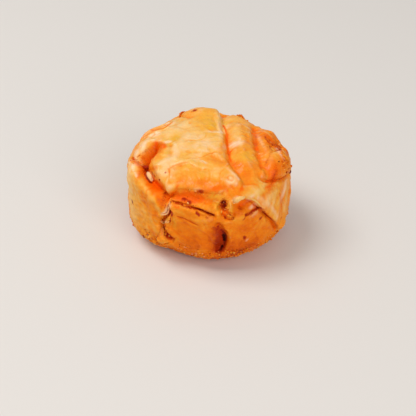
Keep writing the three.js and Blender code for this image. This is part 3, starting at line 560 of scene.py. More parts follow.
    (-104.0, 48.8, 12.0, 3.6, -175, 'orange_and_fold_shade', 0.95, 1),  # band over the seam
    (-114.8, 49.0, 3.6, 2.2, 172, 'tone', 0.6, 0.9),  # band, left
    (-98.2, 49.2, 5.6, 2.5, -170, 'orange_and_fold_shade', 1, 1),  # band, middle
    (-99.8, 49.6, 5.0, 1.9, -171, 'burn', 0.19, 1),  # band, middle, brown
    (-107.8, 49.4, 1.9, 1.6, 172, 'pale_and_highlight', 0.45, 1),  # band, speckled light
    (-97.8, 43.6, 2.2, 0.6, -179, 'pale_and_highlight', 0.6, 1),  # band, yellow edge
    (-88.8, 50.0, 3.3, 3.3, 130, 'tone', 0.47, 0.95),  # band, right
    (-87.0, 46.5, 4.4, 1.9, -174, 'yolk', 0.85, 1),  # band, yellow
    (-85.0, 50.6, 2.7, 2.2, 96, 'yolk', 0.7, 1),  # band, right end
    (-84.7, 49.2, 2.2, 0.7, 162, 'pale_and_highlight', 0.4, 1),  # band, right end light
    (-95.8, 44.9, 3.6, 1.6, -178, 'burn', 0.3, 1),  # band, dark patch
    (-94.2, 44.7, 1.4, 0.9, -176, 'burn', 0.5, 1),  # band, dark patch 2
    (-103.2, 49.6, 4.5, 2.5, -173, 'burn', 0.17, 1),  # band, red
    (-109.2, 52.2, 4.1, 1.4, -172, 'burn', 0.22, 1),  # band, red left
    (-79.8, 51.0, 3.5, 2.0, 76, 'burn', 0.5, 1),  # burnt spot
    (-78.5, 56.4, 2.8, 2.4, -157, 'burn', 0.2, 1),  # burnt spot, red
    (-79.8, 55.7, 2.7, 2.5, 80, 'orange_and_fold_shade', 1, 1),  # burnt spot, glow
    (-75.5, 52.2, 2.8, 0.9, 90, 'yolk', 0.7, 1),  # burnt spot, right rim
    (-84.2, 53.7, 4.0, 1.1, 91, 'yolk', 0.5, 1),  # burnt spot, left rim
    (-72.2, 46.1, 5.0, 2.2, -168, 'tone', 0.47, 0.9),  # right of the burnt spot
    (-70.5, 47.5, 3.4, 1.1, -148, 'orange_and_fold_shade', 0.35, 1),  # right of the spot, red
    (-73.5, 53.9, 3.5, 1.7, 95, 'tone', 0.52, 0.9),  # left of the hollow
    (-71.0, 38.3, 4.8, 3.3, -125, 'tone', 0.25, 1),  # wrinkled patch
    (-70.0, 38.1, 4.5, 3.0, -125, 'pale_and_highlight', 0.7, 1),  # wrinkled patch, light
    (-67.8, 41.2, 2.2, 1.3, -143, 'pale_and_highlight', 0.5, 1),  # wrinkled patch, pale foot
    (-76.2, 43.0, 4.4, 2.1, -170, 'tone', 0.46, 0.9),  # below the wrinkles
    (-67.0, 45.9, 2.9, 1.7, -168, 'tone', 0.47, 0.8),  # beside the ring spot
    (-65.2, 44.7, 1.7, 1.5, 169, 'orange_and_fold_shade', 0.95, 1),  # ring spot
    (-65.8, 44.9, 0.8, 0.7, 170, 'burn', 0.28, 1),  # ring spot, middle
    (-66.5, 74.2, 1.6, 1.1, 103, 'burn', 0.55, 1),  # small mark
    (-64.5, 76.5, 1.5, 0.9, -141, 'pale_and_highlight', 0.5, 1),  # small mark, light
    (-54.2, 65.0, 1.5, 0.9, -134, 'burn', 0.5, 1),  # small mark, upper
    (-67.2, 60.9, 1.5, 0.7, -134, 'burn', 0.35, 1),  # mark under the line
    (112.2, 38.3, 1.6, 1.0, -164, 'burn', 0.45, 1),  # rear dark spot
    (100.8, 40.1, 2.5, 1.0, -173, 'burn', 0.45, 1),  # rear dark spot 2
    (58.8, 40.1, 2.4, 1.0, 151, 'burn', 0.3, 1),  # rear dark spot 3
    (-154.8, 66.6, 1.6, 0.8, 130, 'burn', 0.8, 1),  # speck
    (-139.0, 57.0, 1.6, 0.5, 160, 'burn', 0.3, 1),  # speck, upper
    (-81.2, 88.8, 1.5, 1.1, 71, 'burn', 0.7, 1),  # speck at the foot
    (-143.5, 59.2, 20.9, 9.9, 105, 'tone', 0.31, 1),  # left wall
    (-159.8, 64.4, 25.7, 6.2, 102, 'tone', 0.18, 0.9),  # left wall, edge
    (-161.5, 61.7, 24.6, 5.5, 104, 'pale_and_highlight', 0.35, 1),  # left wall, edge light
    (-151.2, 69.1, 12.3, 4.0, 101, 'yolk', 0.35, 1),  # left wall, yellow
    (-140.5, 56.8, 6.5, 3.8, 115, 'tone', 0.49, 1),  # left wall, blotch
    (-132.5, 53.7, 3.5, 2.7, 139, 'tone', 0.33, 0.9),  # left wall, under the rim
    (-130.8, 66.2, 5.5, 3.5, 127, 'tone', 0.52, 1),  # left wall, blotch 2
    (-125.8, 56.6, 3.3, 1.9, 107, 'tone', 0.56, 0.9),  # left wall, brown by the slot
    (-136.8, 75.4, 5.8, 3.0, 140, 'tone', 0.34, 0.9),  # left wall, light
    (-154.0, 77.5, 6.9, 4.1, 141, 'pale_and_highlight', 0.35, 1),  # left wall, pink
    (-126.2, 61.9, 3.2, 1.7, 118, 'tone', 0.32, 0.9),  # left wall, light by the crack
    (-132.5, 79.5, 4.4, 1.8, 137, 'tone', 0.58, 1),  # left wall, olive foot
    (-143.5, 81.0, 5.5, 2.8, 139, 'tone', 0.36, 1),  # left wall, foot
    (-161.2, 46.9, 3.7, 2.6, 87, 'pale_and_highlight', 0.7, 1),  # left rim, light
    (-134.2, 49.0, 5.6, 2.4, 128, 'tone', 0.58, 1),  # left rim, lower face
    (-176.8, 36.9, 5.6, 2.1, 168, 'pale_and_highlight', 0.75, 1),  # rim, pink upper
    (-172.0, 41.4, 5.7, 2.0, -11, 'pale_and_highlight', 0.7, 1),  # rim, pink left
    (-164.5, 26.2, 3.9, 2.5, 2, 'tone', 0.47, 0.9),  # orange right of the opening
    (-30.8, 45.5, 9.8, 2.8, -155, 'orange_and_fold_shade', 0.6, 1),  # roll, lower half: painted shade on its underside
    (-148.2, 31.5, 3.5, 1.7, 28, 'tone', 0.38, 0.9),  # facet beside the opening
    (-122.2, 51.4, 3.1, 1.7, 88, 'burn', 0.34, 1),  # opening, lower right dark
    (-125.8, 54.9, 3.0, 2.2, 143, 'tone', 0.68, 0.9),  # opening, lower right brown
    (-121.8, 49.4, 1.2, 1.2, 155, 'burn', 0.42, 1),  # opening, lower right spots
    (-162.8, 48.3, 5.4, 3.6, 24, 'tone', 0.28, 0.9),  # left rim, outside
    (-148.0, 44.9, 6.2, 2.9, 81, 'tone', 0.6, 1),  # left rim, inner face
    (-147.2, 44.7, 5.6, 1.9, 82, 'orange_and_fold_shade', 0.55, 1),  # left rim, inner face, red
    (-162.2, 41.8, 2.2, 1.2, -9, 'burn', 0.3, 1),  # left rim, red marks
    (-168.0, 32.6, 1.6, 1.1, -150, 'burn', 0.25, 1),  # opening, red marks
    (-165.2, 34.8, 2.6, 1.0, -128, 'burn', 0.22, 1),  # opening, top edge red
    (-146.0, 46.9, 3.4, 1.7, 89, 'yolk', 0.4, 1),  # left rim, inner yellow
    (-173.8, 42.6, 6.8, 3.3, 173, 'tone', 0.35, 1),  # left rim, mottled
    (-167.0, 43.8, 4.4, 1.7, 166, 'tone', 0.48, 0.9),  # left rim, orange
    (176.2, 37.7, 9.9, 3.0, 158, 'pale_and_highlight', 0.7, 1),  # left rim, rear pale
    (177.0, 36.9, 3.2, 1.2, -17, 'pale_and_highlight', 0.9, 1),  # left rim, pink
    (161.8, 34.8, 4.9, 4.7, 137, 'pale_and_highlight', 0.95, 1),  # rear left hollow
    (172.8, 34.4, 3.9, 3.4, 136, 'tone', 0.22, 1),  # rear left, below it
    (-170.2, 28.3, 5.0, 1.3, 5, 'orange_and_fold_shade', 0.8, 1),  # opening, upper right
    (-157.0, 35.0, 5.4, 3.3, -167, 'tone', 0.5, 1),  # opening, upper
    (-161.0, 29.7, 5.1, 2.3, 8, 'tone', 0.52, 1),  # opening, upper right orange
    (-129.5, 47.9, 4.1, 3.7, 139, 'orange_and_fold_shade', 1.0, 1),  # opening, lower: painted shade inside the opening
    (-136.5, 48.4, 2.7, 1.7, -173, 'orange_and_fold_shade', 0.7, 1),  # opening, lower left: painted shade inside the opening
    (-159.8, 38.5, 2.2, 1.2, 35, 'burn', 0.2, 1),  # opening, red rim
    (-157.0, 42.0, 2.4, 1.4, 10, 'burn', 0.28, 1),  # opening, red notch
    (-140.8, 38.7, 4.1, 1.9, 49, 'tone', 0.5, 1),  # opening, by the bit
    (-152.5, 41.4, 1.5, 0.8, 70, 'pale_and_highlight', 0.7, 1),  # opening, light ridge
    (-122.8, 55.3, 2.6, 1.8, 109, 'burn', 0.28, 1),  # crack, dark red left
    (-125.0, 80.6, 4.8, 2.8, 125, 'tone', 0.42, 1),  # crack, lumps
    (-122.5, 69.9, 3.3, 2.2, 127, 'tone', 0.55, 0.8),  # crack, mottled
    (-130.5, 82.6, 4.4, 2.3, 127, 'tone', 0.46, 0.8),  # crack, left lumps
    (-134.8, 90.8, 3.5, 1.0, -143, 'tone', 0.5, 0.8),  # foot, left
    # hidden sides
    (110, 66, 14, 10, 10, 'tone', 0.50, 1),
    (60, 72, 13, 10, -20, 'tone', 0.46, 1),
    (25, 68, 12, 9, 30, 'tone', 0.38, 1),
    (150, 68, 12, 11, 0, 'tone', 0.42, 1),
    (178, 66, 8, 12, 0, 'tone', 0.38, 1),
    (-5, 70, 9, 10, 0, 'tone', 0.44, 1),
    (98, 50, 13, 2.6, 175, 'orange_and_fold_shade', 0.6, 1),
    (30, 62, 7, 3, 0, 'orange_and_fold_shade', 0.35, 1),
    (140, 62, 3, 2, 30, 'burn', 0.3, 1),
    (46, 60, 5, 3, 30, 'pale_and_highlight', 0.4, 1),
    (130, 54, 6, 3, 20, 'pale_and_highlight', 0.4, 1),
    (93, 60, 9, 3, 5, 'tone', 0.42, .8),
    (72, 66, 5, 7, 0, 'tone', 0.55, .8),
    (158, 57, 7, 4, 20, 'tone', 0.34, .8),
    (12, 63, 6, 4, 0, 'tone', 0.34, .8),
    (40, 78, 9, 5, 0, 'tone', 0.60, .8),
    (125, 80, 9, 5, 0, 'tone', 0.60, .8),
    (86, 78, 9, 5, 0, 'tone', 0.64, .8),
    (165, 80, 9, 5, 0, 'tone', 0.56, .8),
]
# lines of colour along folds: (points, what, how much, half width left, half width
# right, how far the line is broken up)
STRIPES = [
    ([(-178, 26.8), (-166.5, 28.7), (-159.5, 32.8), (-155.8, 37.3), (-153, 41.2)], 'tone', 0.55, 4.3, 3.7, 0),  # opening, upper floor
    ([(-160.8, 32.2), (-156.8, 35.4), (-154.2, 38.5)], 'orange_and_fold_shade', 0.45, 1.5, 1.5, 0.4),  # opening, upper floor red
    ([(-165, 42.2), (-166.2, 38.5), (-168.2, 35), (-171.8, 32.4)], 'burn', 0.5, 0.79, 0.79, 0.6),  # opening, dots of the rim
    ([(-176.8, 28.2), (-166.2, 26.8), (-157.5, 28.7)], 'tone', 0.56, 1.7, 1.7, 0),  # face of the opening, right part
    ([(-171.5, 24.8), (-159.8, 23.9)], 'burn', 0.2, 0.61, 0.61, 0.3),  # face of the opening, red line
    ([(-173.8, 47.3), (-164.8, 44.5), (-158.2, 43), (-150.5, 42.8)], 'tone', 0.64, 1, 1, 0),  # rim, orange edge
    ([(-165.2, 43.6), (-159.2, 42.4), (-152.5, 41.8)], 'burn', 0.3, 0.79, 0.79, 0.3),  # rim, red edge
    ([(-153.2, 41.4), (-144.8, 43.8), (-137.8, 46.5), (-131.5, 48.8), (-126.8, 51), (-122.5, 53.5), (-120, 55.3)], 'orange_and_fold_shade', 0.62, 3.4, 3.4, 0),  # opening floor: painted shade inside the opening
    ([(-157.8, 42.4), (-161.2, 38.5), (-165.8, 35.2), (-171.8, 32.4), (-179.5, 31.5)], 'burn', 0.26, 0.55, 0.55, 0.35),  # opening, fold of the rim
    ([(-177.5, 28.9), (-161.8, 28.7)], 'orange_and_fold_shade', 1, 0.79, 0.79, 0),  # opening, deep red streak
    ([(-151.2, 41.6), (-148.5, 41.2), (-146.2, 43), (-142.2, 44.9), (-138.5, 46.1), (-135.5, 46.9), (-134, 46.1)], 'burn', 1, 0.55, 0.55, 0.15),  # dark outline of the inner sheet
    ([(-150.5, 41.2), (-147.2, 40.6), (-143.8, 40.8)], 'burn', 1, 0.67, 0.67, 0.2),  # dark cap of the inner sheet
    ([(-146.5, 42), (-143.2, 43)], 'burn', 0.62, 1, 1, 0.3),  # dark inside of it
    ([(-141.8, 40.8), (-137.8, 42), (-133.2, 43.4)], 'burn', 0.62, 0.34, 0.34, 0.1),  # inner sheet, thin edge
    ([(-130.2, 43), (-129, 44.2)], 'burn', 0.9, 0.49, 0.49, 0),  # dark spot in the opening
    ([(-136.8, 49.8), (-132, 50.8), (-127.8, 50.6)], 'burn', 0.32, 0.43, 0.43, 0.2),  # lower edge of the opening
    ([(-127, 45.5), (-123.2, 48.1), (-119.8, 50), (-120, 53.5)], 'burn', 0.22, 0.73, 0.73, 0.2),  # opening, lower right edge
    ([(-161, 37.3), (-159, 39.1), (-158, 40.4)], 'burn', 0.28, 0.55, 0.55, 0),  # rim, red line
    ([(-173.8, 46.5), (-164.2, 44.7), (-158.5, 42.8)], 'orange_and_fold_shade', 0.7, 0.55, 0.55, 0),  # notch
    ([(-173.5, 49.2), (-162.5, 47.1), (-154.2, 47.3), (-148.8, 48.4)], 'pale_and_highlight', 0.8, 0.92, 0.73, 0.15),  # rim, pale crest
    ([(159.2, 44.9), (150.8, 44.3), (151, 38.1), (148.2, 32.6), (140.5, 31.5), (129.2, 32.4)], 'tone', 0.52, 0.73, 0.73, 0),  # rear left, thin edge
    ([(149.5, 34.6), (141.8, 30.9), (132.5, 31.5)], 'orange_and_fold_shade', 0.35, 0.55, 0.55, 0),  # rear left, thin edge red
    ([(164.2, 39.1), (161.2, 35.8), (157.8, 30.9)], 'pale_and_highlight', 1, 0.92, 1.1, 0),  # rear left, pale fold
    ([(-116.8, 52.7), (-113, 53.1), (-107.8, 53.3), (-103.5, 53.9), (-97.8, 54.1), (-93.2, 54.7), (-89.5, 55.9), (-85.8, 57.2)], 'burn', 0.45, 0.98, 0.73, 0.2),  # seam
    ([(-113, 53.1), (-107.8, 53.3), (-103.5, 53.9), (-98.5, 53.9), (-93.7, 54.3)], 'burn', 0.85, 0.55, 0.49, 0.25),  # seam, core
    ([(-97.2, 54.3), (-94, 54.9), (-90, 56.1), (-85.8, 57.4)], 'burn', 0.62, 1, 0.85, 0.3),  # seam, core right
    ([(-99.2, 55.3), (-97.8, 56.8), (-95.8, 58.4)], 'burn', 0.95, 0.73, 0.73, 0),  # stroke under the seam
    ([(-95, 58.2), (-92.2, 58.6), (-89.5, 57.8)], 'burn', 0.6, 0.73, 0.73, 0.6),  # dots under the seam
    ([(-90.2, 44), (-86, 44), (-79.5, 44.3)], 'burn', 0.25, 0.37, 0.49, 0.1),  # red line over the band
    ([(-116, 53.7), (-113, 55.5), (-109.2, 54.5)], 'orange_and_fold_shade', 0.8, 0.98, 0.98, 0),  # seam, left end
    ([(-113.5, 61.3), (-108.2, 61.3), (-103.2, 62.9), (-97, 64.6)], 'tone', 0.7, 0.43, 0.3, 0),  # panel line
    ([(-106.2, 63.5), (-101.8, 64.4), (-97, 65.6)], 'tone', 0.4, 0.3, 0.3, 0),  # panel line, light edge
    ([(-94.2, 61.7), (-93.5, 64.4), (-91.8, 67.6)], 'burn', 0.22, 0.43, 0.43, 0.2),  # panel line 2
    ([(-117.2, 58), (-113.2, 57.2), (-109.2, 55.7)], 'burn', 0.3, 0.37, 0.37, 0.4),  # panel left line
    ([(-109.2, 49.2), (-104.8, 50.6), (-99.8, 51.6)], 'burn', 0.6, 1.3, 1.3, 0.7),  # band, dots
    ([(-99.5, 44.5), (-96.2, 44.3), (-91.8, 44.3)], 'burn', 0.6, 1.1, 1.1, 0.6),  # band, dots upper
    ([(-121.5, 52.9), (-120.5, 55.1), (-122.5, 58.6), (-122.8, 61.7)], 'burn', 0.55, 0.37, 0.37, 0.1),  # crack, outline left
    ([(-118, 53.5), (-118.2, 56.1), (-120.8, 59), (-122.5, 61.7), (-125.5, 63.9)], 'pale_and_highlight', 1, 0.98, 0.98, 0),  # crack, pale strip
    ([(-119.2, 59.6), (-118, 59), (-116.5, 58.6)], 'burn', 1, 0.73, 0.73, 0),  # crack, dark hole
    ([(-120.8, 63.1), (-118.5, 60.2)], 'burn', 0.45, 0.85, 0.85, 0.2),  # crack, brown inside
    ([(-116.5, 58.8), (-117, 62.1), (-118, 65.4), (-120, 68)], 'burn', 0.8, 0.49, 0.49, 0.1),  # crack, line right
    ([(-126.2, 68.2), (-122.5, 67.8), (-119.2, 66.6)], 'pale_and_highlight', 0.9, 0.73, 0.61, 0),  # crack, pale strip 2
    ([(-125, 69.5), (-122.5, 69.5), (-123, 72.1)], 'burn', 0.5, 0.79, 0.79, 0.7),  # crack, brown specks
    ([(-123, 70.7), (-123.5, 74.4), (-122.8, 77.3), (-120.2, 79.1), (-118.2, 79.3)], 'burn', 0.85, 0.49, 0.49, 0.1),  # crack, line
    ([(-124.5, 71.1), (-124.5, 74.6), (-124.5, 78.3)], 'pale_and_highlight', 0.7, 0.43, 0.43, 0),  # crack, fibre
    ([(-121.5, 74.4), (-119.2, 76.5), (-115.8, 77.5)], 'burn', 0.8, 0.98, 1.2, 0.15),  # crack, dark pocket
    ([(-126.8, 71.1), (-126.8, 75.4), (-130, 80.1), (-131.8, 84), (-131, 87.1)], 'burn', 0.5, 0.4, 0.4, 0.15),  # crack, outline lower left
    ([(-139.2, 83.8), (-136.5, 86.9)], 'burn', 0.5, 0.49, 0.49, 0),  # crack, flap line
    ([(-136.5, 83.2), (-134.8, 85.9)], 'pale_and_highlight', 0.8, 0.55, 0.55, 0),  # crack, pink flake
    ([(-131.2, 84.9), (-131.2, 88.3)], 'burn', 0.5, 0.67, 0.67, 0.1),  # crack, brown dip
    ([(-126, 73.6), (-124.8, 73)], 'pale_and_highlight', 0.6, 0.67, 0.67, 0),  # crack, light lumps
    ([(-81, 57.2), (-79.5, 58.8), (-76.5, 59), (-74.8, 59), (-73.2, 58.2)], 'burn', 0.85, 0.49, 0.49, 0.25),  # burnt spot, foot
    ([(-76.2, 55.1), (-76.2, 58)], 'burn', 0.75, 0.43, 0.43, 0),  # burnt spot, line
    ([(-75, 51), (-75, 52.7)], 'burn', 0.4, 0.43, 0.43, 0.4),  # burnt spot, right specks
    ([(-75.5, 59.6), (-74, 59)], 'burn', 0.6, 0.43, 0.43, 0),  # burnt spot, tick
    ([(-80.8, 48.6), (-80, 51), (-78.8, 53.7)], 'burn', 0.85, 1.3, 1.3, 0.6),  # burnt spot, dots
    ([(-78.5, 49), (-78, 50.8)], 'burn', 0.8, 0.67, 0.67, 0.5),  # burnt spot, dots right
    ([(-85.2, 64.6), (-83.5, 68), (-83.8, 73.6), (-84.5, 77.7), (-85, 82.4)], 'burn', 0.3, 1.8, 4.3, 0.25),  # burnt seam, soft side: painted shade where the panel rolls in
    ([(-83.2, 65.6), (-80.2, 68.5), (-78.8, 72.5), (-79.5, 75.8), (-80.5, 79.5), (-82.8, 82.4)], 'burn', 0.72, 0.49, 2.4, 0.1),  # burnt seam
    ([(-81.2, 68.7), (-80, 72.3), (-80.5, 75)], 'burn', 1.2, 0.73, 1.6, 0),  # burnt seam, core
    ([(-81.5, 76.2), (-81.8, 79.3), (-84, 82.4)], 'burn', 1, 0.98, 1.3, 0),  # burnt seam, lower core
    ([(-86.8, 81.2), (-84.2, 82.8)], 'burn', 0.9, 0.85, 0.85, 0.1),  # burnt seam, foot
    ([(-88, 66.4), (-85.8, 66.4), (-84.2, 63.9), (-83, 63.3)], 'burn', 0.55, 1.1, 1.1, 0.6),  # burnt seam, top specks
    ([(-77.2, 74), (-76.2, 76.5)], 'burn', 0.3, 0.43, 0.43, 0.2),  # beside the seam, marks
    ([(59.2, 19.4), (49.5, 17), (29.8, 13.9), (-12, 12), (-40, 15.5), (-51.2, 20), (-57.5, 23.7), (-60.2, 27.6)], 'orange_and_fold_shade', 0.9, 0.67, 0.49, 0),  # crease, thin line
    ([(54.8, 18.2), (40.8, 15.9)], 'burn', 0.16, 0.67, 0.67, 0),  # crease, red top
    ([(-49, 19), (-56.5, 22.9)], 'burn', 0.34, 0.49, 0.37, 0.2),  # crease, dark middle
    ([(-59.5, 27), (-60.5, 30.9), (-60, 34)], 'orange_and_fold_shade', 0.5, 0.98, 0.73, 0.3),  # crease, front
    ([(80.5, 26.4), (69, 17.6), (45.8, 11.2), (-12.5, 7.9), (-58.2, 12), (-68.5, 19), (-69, 25.2)], 'pale_and_highlight', 0.4, 0.55, 0.55, 0),  # crest beside the crease
    ([(-70.5, 29.1), (-67.2, 32.6), (-64.5, 36.7), (-63.5, 40.3)], 'pale_and_highlight', 0.6, 0.92, 0.61, 0),  # edge of the crown, right front
    ([(-75.5, 36.9), (-73.2, 37.5), (-71, 37.7)], 'burn', 0.42, 0.3, 0.3, 0.1),  # wrinkle
    ([(-75, 39.1), (-72.8, 39.9), (-71.2, 41.2)], 'burn', 0.42, 0.3, 0.3, 0.1),  # wrinkle 2
    ([(-76.2, 40.6), (-75.7, 42.2)], 'burn', 0.45, 0.37, 0.37, 0.1),  # wrinkle 3
    ([(-72.5, 42), (-68.5, 42.8), (-66, 42.6)], 'burn', 0.2, 0.3, 0.3, 0.3),  # wrinkle 4
    ([(-64, 42.8), (-62.8, 44)], 'burn', 0.4, 0.3, 0.3, 0.1),  # tick by the ring
    ([(36.8, 36.7), (16.8, 30.5), (-7, 28.9), (-18.2, 30.5), (-29, 34.2), (-36.5, 38.1), (-41.5, 40.6)], 'tone', 0.52, 0.73, 0.61, 0),  # second crease, line
    ([(-11.2, 29.1), (-19.8, 31.1)], 'orange_and_fold_shade', 0.9, 0.73, 0.73, 0),  # second crease, red
    ([(22.2, 37.9), (9, 35.6), (1.2, 37.1), (-7, 37.5), (-6, 40.8), (5.8, 46.5)], 'burn', 0.6, 0.55, 0.55, 0.5),  # dotted edge
    ([(-11.5, 37.9), (-18.5, 38.1), (-26.8, 38.5), (-34.5, 39.9)], 'burn', 0.3, 0.61, 0.61, 0.4),  # dotted edge, lower
    ([(-0.8, 37.7), (4.8, 41.4), (7, 45.3)], 'tone', 0.72, 0.61, 0.61, 0),  # brown patch, line
    ([(23, 45.7), (17, 47.5), (9.2, 49), (3.2, 51)], 'tone', 0.55, 0.55, 0.55, 0),  # right rim, dark
    ([(3, 45.5), (3.5, 48.6)], 'pale_and_highlight', 0.5, 0.61, 0.61, 0),  # right rim, pink
    ([(-45, 44), (-39.8, 46.7), (-33, 49), (-26.5, 51), (-19, 52.5), (-11.8, 53.7)], 'burn', 0.34, 0.49, 0.61, 0.15),  # roll, under edge: painted shadow line below the roll
    ([(-11.2, 53.1), (-10.2, 54.9)], 'burn', 0.75, 0.61, 0.61, 0),  # roll, dark end
    ([(-56, 56.4), (-53, 59.2), (-50.2, 63.5), (-44.8, 68.7), (-39.5, 73.8), (-36.5, 77.3), (-33.2, 81)], 'burn', 0.8, 0.37, 0.43, 0.15),  # arch line
    ([(-53.2, 59.2), (-50.2, 63.9)], 'burn', 0.55, 0.79, 0.67, 0.1),  # arch line, thick
    ([(-67.5, 58.8), (-64.5, 58.8), (-61, 58), (-58.2, 57.4), (-55.5, 56.8)], 'burn', 0.85, 0.85, 0.85, 0),  # dark line of the second sheet
    ([(-71.8, 55.3), (-70, 57.4), (-67.5, 58.8)], 'burn', 0.26, 0.85, 0.85, 0.3),  # left end of that line
    ([(-71, 52.5), (-69, 54.9), (-66.2, 56.1)], 'burn', 0.3, 1.3, 1.3, 0.65),  # hollow, mottled
    ([(-36.2, 78.5), (-33.5, 81.4)], 'burn', 0.8, 0.79, 0.79, 0),  # arch line, tip
    ([(-32, 81), (-29.5, 78.7), (-28.2, 75)], 'burn', 0.8, 0.37, 0.37, 0.1),  # arch line, right side
    ([(-28, 74.2), (-28.5, 68.9), (-32, 62.3)], 'tone', 0.58, 0.49, 0.49, 0),  # arch line, right side, up
    ([(-73.2, 50), (-71, 48.8), (-68, 48.3)], 'pale_and_highlight', 0.95, 1.2, 1.2, 0),  # flap, lit edge
    ([(-56.5, 51), (-51.5, 53.9), (-46.5, 58.4), (-40.2, 66), (-34.2, 73.8)], 'pale_and_highlight', 0.55, 1.5, 1.5, 0.1),  # flap, lit middle
    ([(-33.8, 56.3), (-31.8, 61.7), (-29.5, 67.8), (-28, 73.4)], 'tone', 0.62, 0.61, 0.61, 0.1),  # flap, right fold
    ([(-56.8, 54.3), (-53.2, 58.4), (-48.2, 64.1), (-42.2, 70.7)], 'tone', 0.46, 0.98, 0.98, 0.1),  # flap, lower edge
    ([(-111.2, 81.8), (-107.5, 80.5), (-104.5, 81)], 'burn', 0.28, 0.73, 0.73, 0.7),  # base specks
    ([(-103.8, 82.4), (-98.8, 81.8), (-94.5, 80.5)], 'burn', 0.25, 0.49, 0.49, 0.5),  # base line
    ([(-103.5, 84), (-103.8, 89.2)], 'burn', 0.3, 0.49, 0.49, 0.1),  # base grooves
    ([(-101.2, 84.4), (-101, 91.6)], 'burn', 0.3, 0.49, 0.49, 0.1),  # base grooves 2
    ([(-109, 81.8), (-106, 82)], 'pale_and_highlight', 0.5, 0.49, 0.49, 0),  # base light
    ([(-91, 88.1), (-86.2, 87.5)], 'pale_and_highlight', 0.35, 0.43, 0.43, 0),  # base light 2
    # hidden sides
    ([(122, 50), (104, 53.2), (86, 54.2), (70, 57.6)], 'burn', .60, .8, .6, .3),
    ([(104, 53.4), (94, 53.9), (84, 54.4)], 'burn', .85, .4, .4, .2),
    ([(122, 52), (124, 57), (120, 64), (123, 72), (120, 79)], 'burn', .7, .5, .5, .3),
    ([(60, 76), (52, 68), (38, 58.4), (22, 54.4)], 'burn', .8, .6, .4, .2),
    ([(164, 57), (166, 63), (160, 72), (162, 79)], 'burn', .34, 1.2, 3.4, 0),
    ([(165.5, 60), (165, 66), (160.5, 72), (161.5, 77)], 'burn', .9, .4, 1.6, 0),
    ([(3, 64), (5, 70), (2, 78)], 'burn', .3, .8, 3.0, 0),
    ([(4, 66), (4.5, 72), (2.5, 76)], 'burn', .7, .4, 1.0, .1),
    ([(84, 64), (92, 66), (101, 70)], 'tone', .68, .4, .4, 0),
    ([(150, 62), (146, 68), (148, 76)], 'tone', .66, .4, .4, 0),
]
# rough, blistered or crumbly places: (angle, run, radius, radius, turn, how much)
ROUGH = [
    (4, 40, 12, 7, -30, 1.0), (-12, 46.5, 8, 5, 0, .9), (-122, 68, 4, 13, 5, .8), (-133, 86, 9, 5, -30, 1.0),
    (-80, 51, 3.5, 5, 0, 1.0), (-74, 47, 6, 4, 0, .6), (-103, 47, 8, 3, 0, .5), (-70, 40, 5, 4, 0, .5),
    (-81, 66, 6, 3, 0, .5), (40, 44, 9, 5, 20, .7), (120, 60, 5, 10, 0, .8), (112, 44, 8, 4, 0, .6), (60, 60, 7, 5, 0, .6),
    (-172, 44, 5, 3, 0, .3), (160, 70, 6, 9, 0, .5), (-163, 37, 7, 4, 20, .55), (-159, 31, 6, 4, 20, .4), (-96, 52, 13, 2.4, 0, .5), (-108, 44, 10, 3, 0, .4),
    (-40, 25, 6, 4, 0, .3), (15, 24, 7, 4, 0, .3),
]
# places with dark dots: (angle, run, radius, radius, turn, how many)
SPECKS = [
    (-14, 48, 8, 5.5, -20, 1.0), (4, 41, 9, 5, -30, .7), (-107, 48.8, 3.5, 2, 0, .6), (-80, 51, 3, 3.4, 0, 1.0),
    (-76, 57.5, 3.2, 2, 0, .8), (-86, 65, 4.5, 2.2, 0, 1.0), (-108, 81, 9, 3, 0, .6), (-105, 88, 30, 5, 0, .7),
    (-60, 88, 26, 5, 0, .7), (-134, 86, 9, 5, -30, .6), (-28, 64, 3, 5, 0, .5), (-68, 56, 4, 3, 0, .4),
    (40, 44, 8, 5, 20, .6), (112, 44, 8, 4, 0, .6), (60, 62, 7, 5, 0, .5), (130, 86, 26, 5, 0, .7),
    (60, 87, 26, 5, 0, .7), (20, 87, 20, 5, 0, .7), (165, 86, 20, 5, 0, .7), (-172, 44, 5, 3, 0, .35),
    (-158, 38, 7, 3, 20, .5), (-100, 52.5, 14, 2, 0, .55),
]


# =====================================================================
# 6. The surface
# =====================================================================
TOP_CELLS = 180          # cells across the square that covers the top
TOP_RUN = 46.0           # run at which the top's square meets the wall's rings
WALL_END = 102.0
WALL_ROWS = 140


def square_to_disc(n):
    u = np.linspace(-1, 1, n + 1)
    a, b = np.meshgrid(u, u, indexing='ij')
    big = np.abs(a) > np.abs(b)
    r = np.where(big, a, b)
    with np.errstate(divide='ignore', invalid='ignore'):
        phi = np.where(big, np.pi / 4 * (b / a), np.pi / 2 - np.pi / 4 * (a / b))
    phi = np.where(r == 0, 0, phi)
    return np.stack([r * np.cos(phi), r * np.sin(phi)], -1)


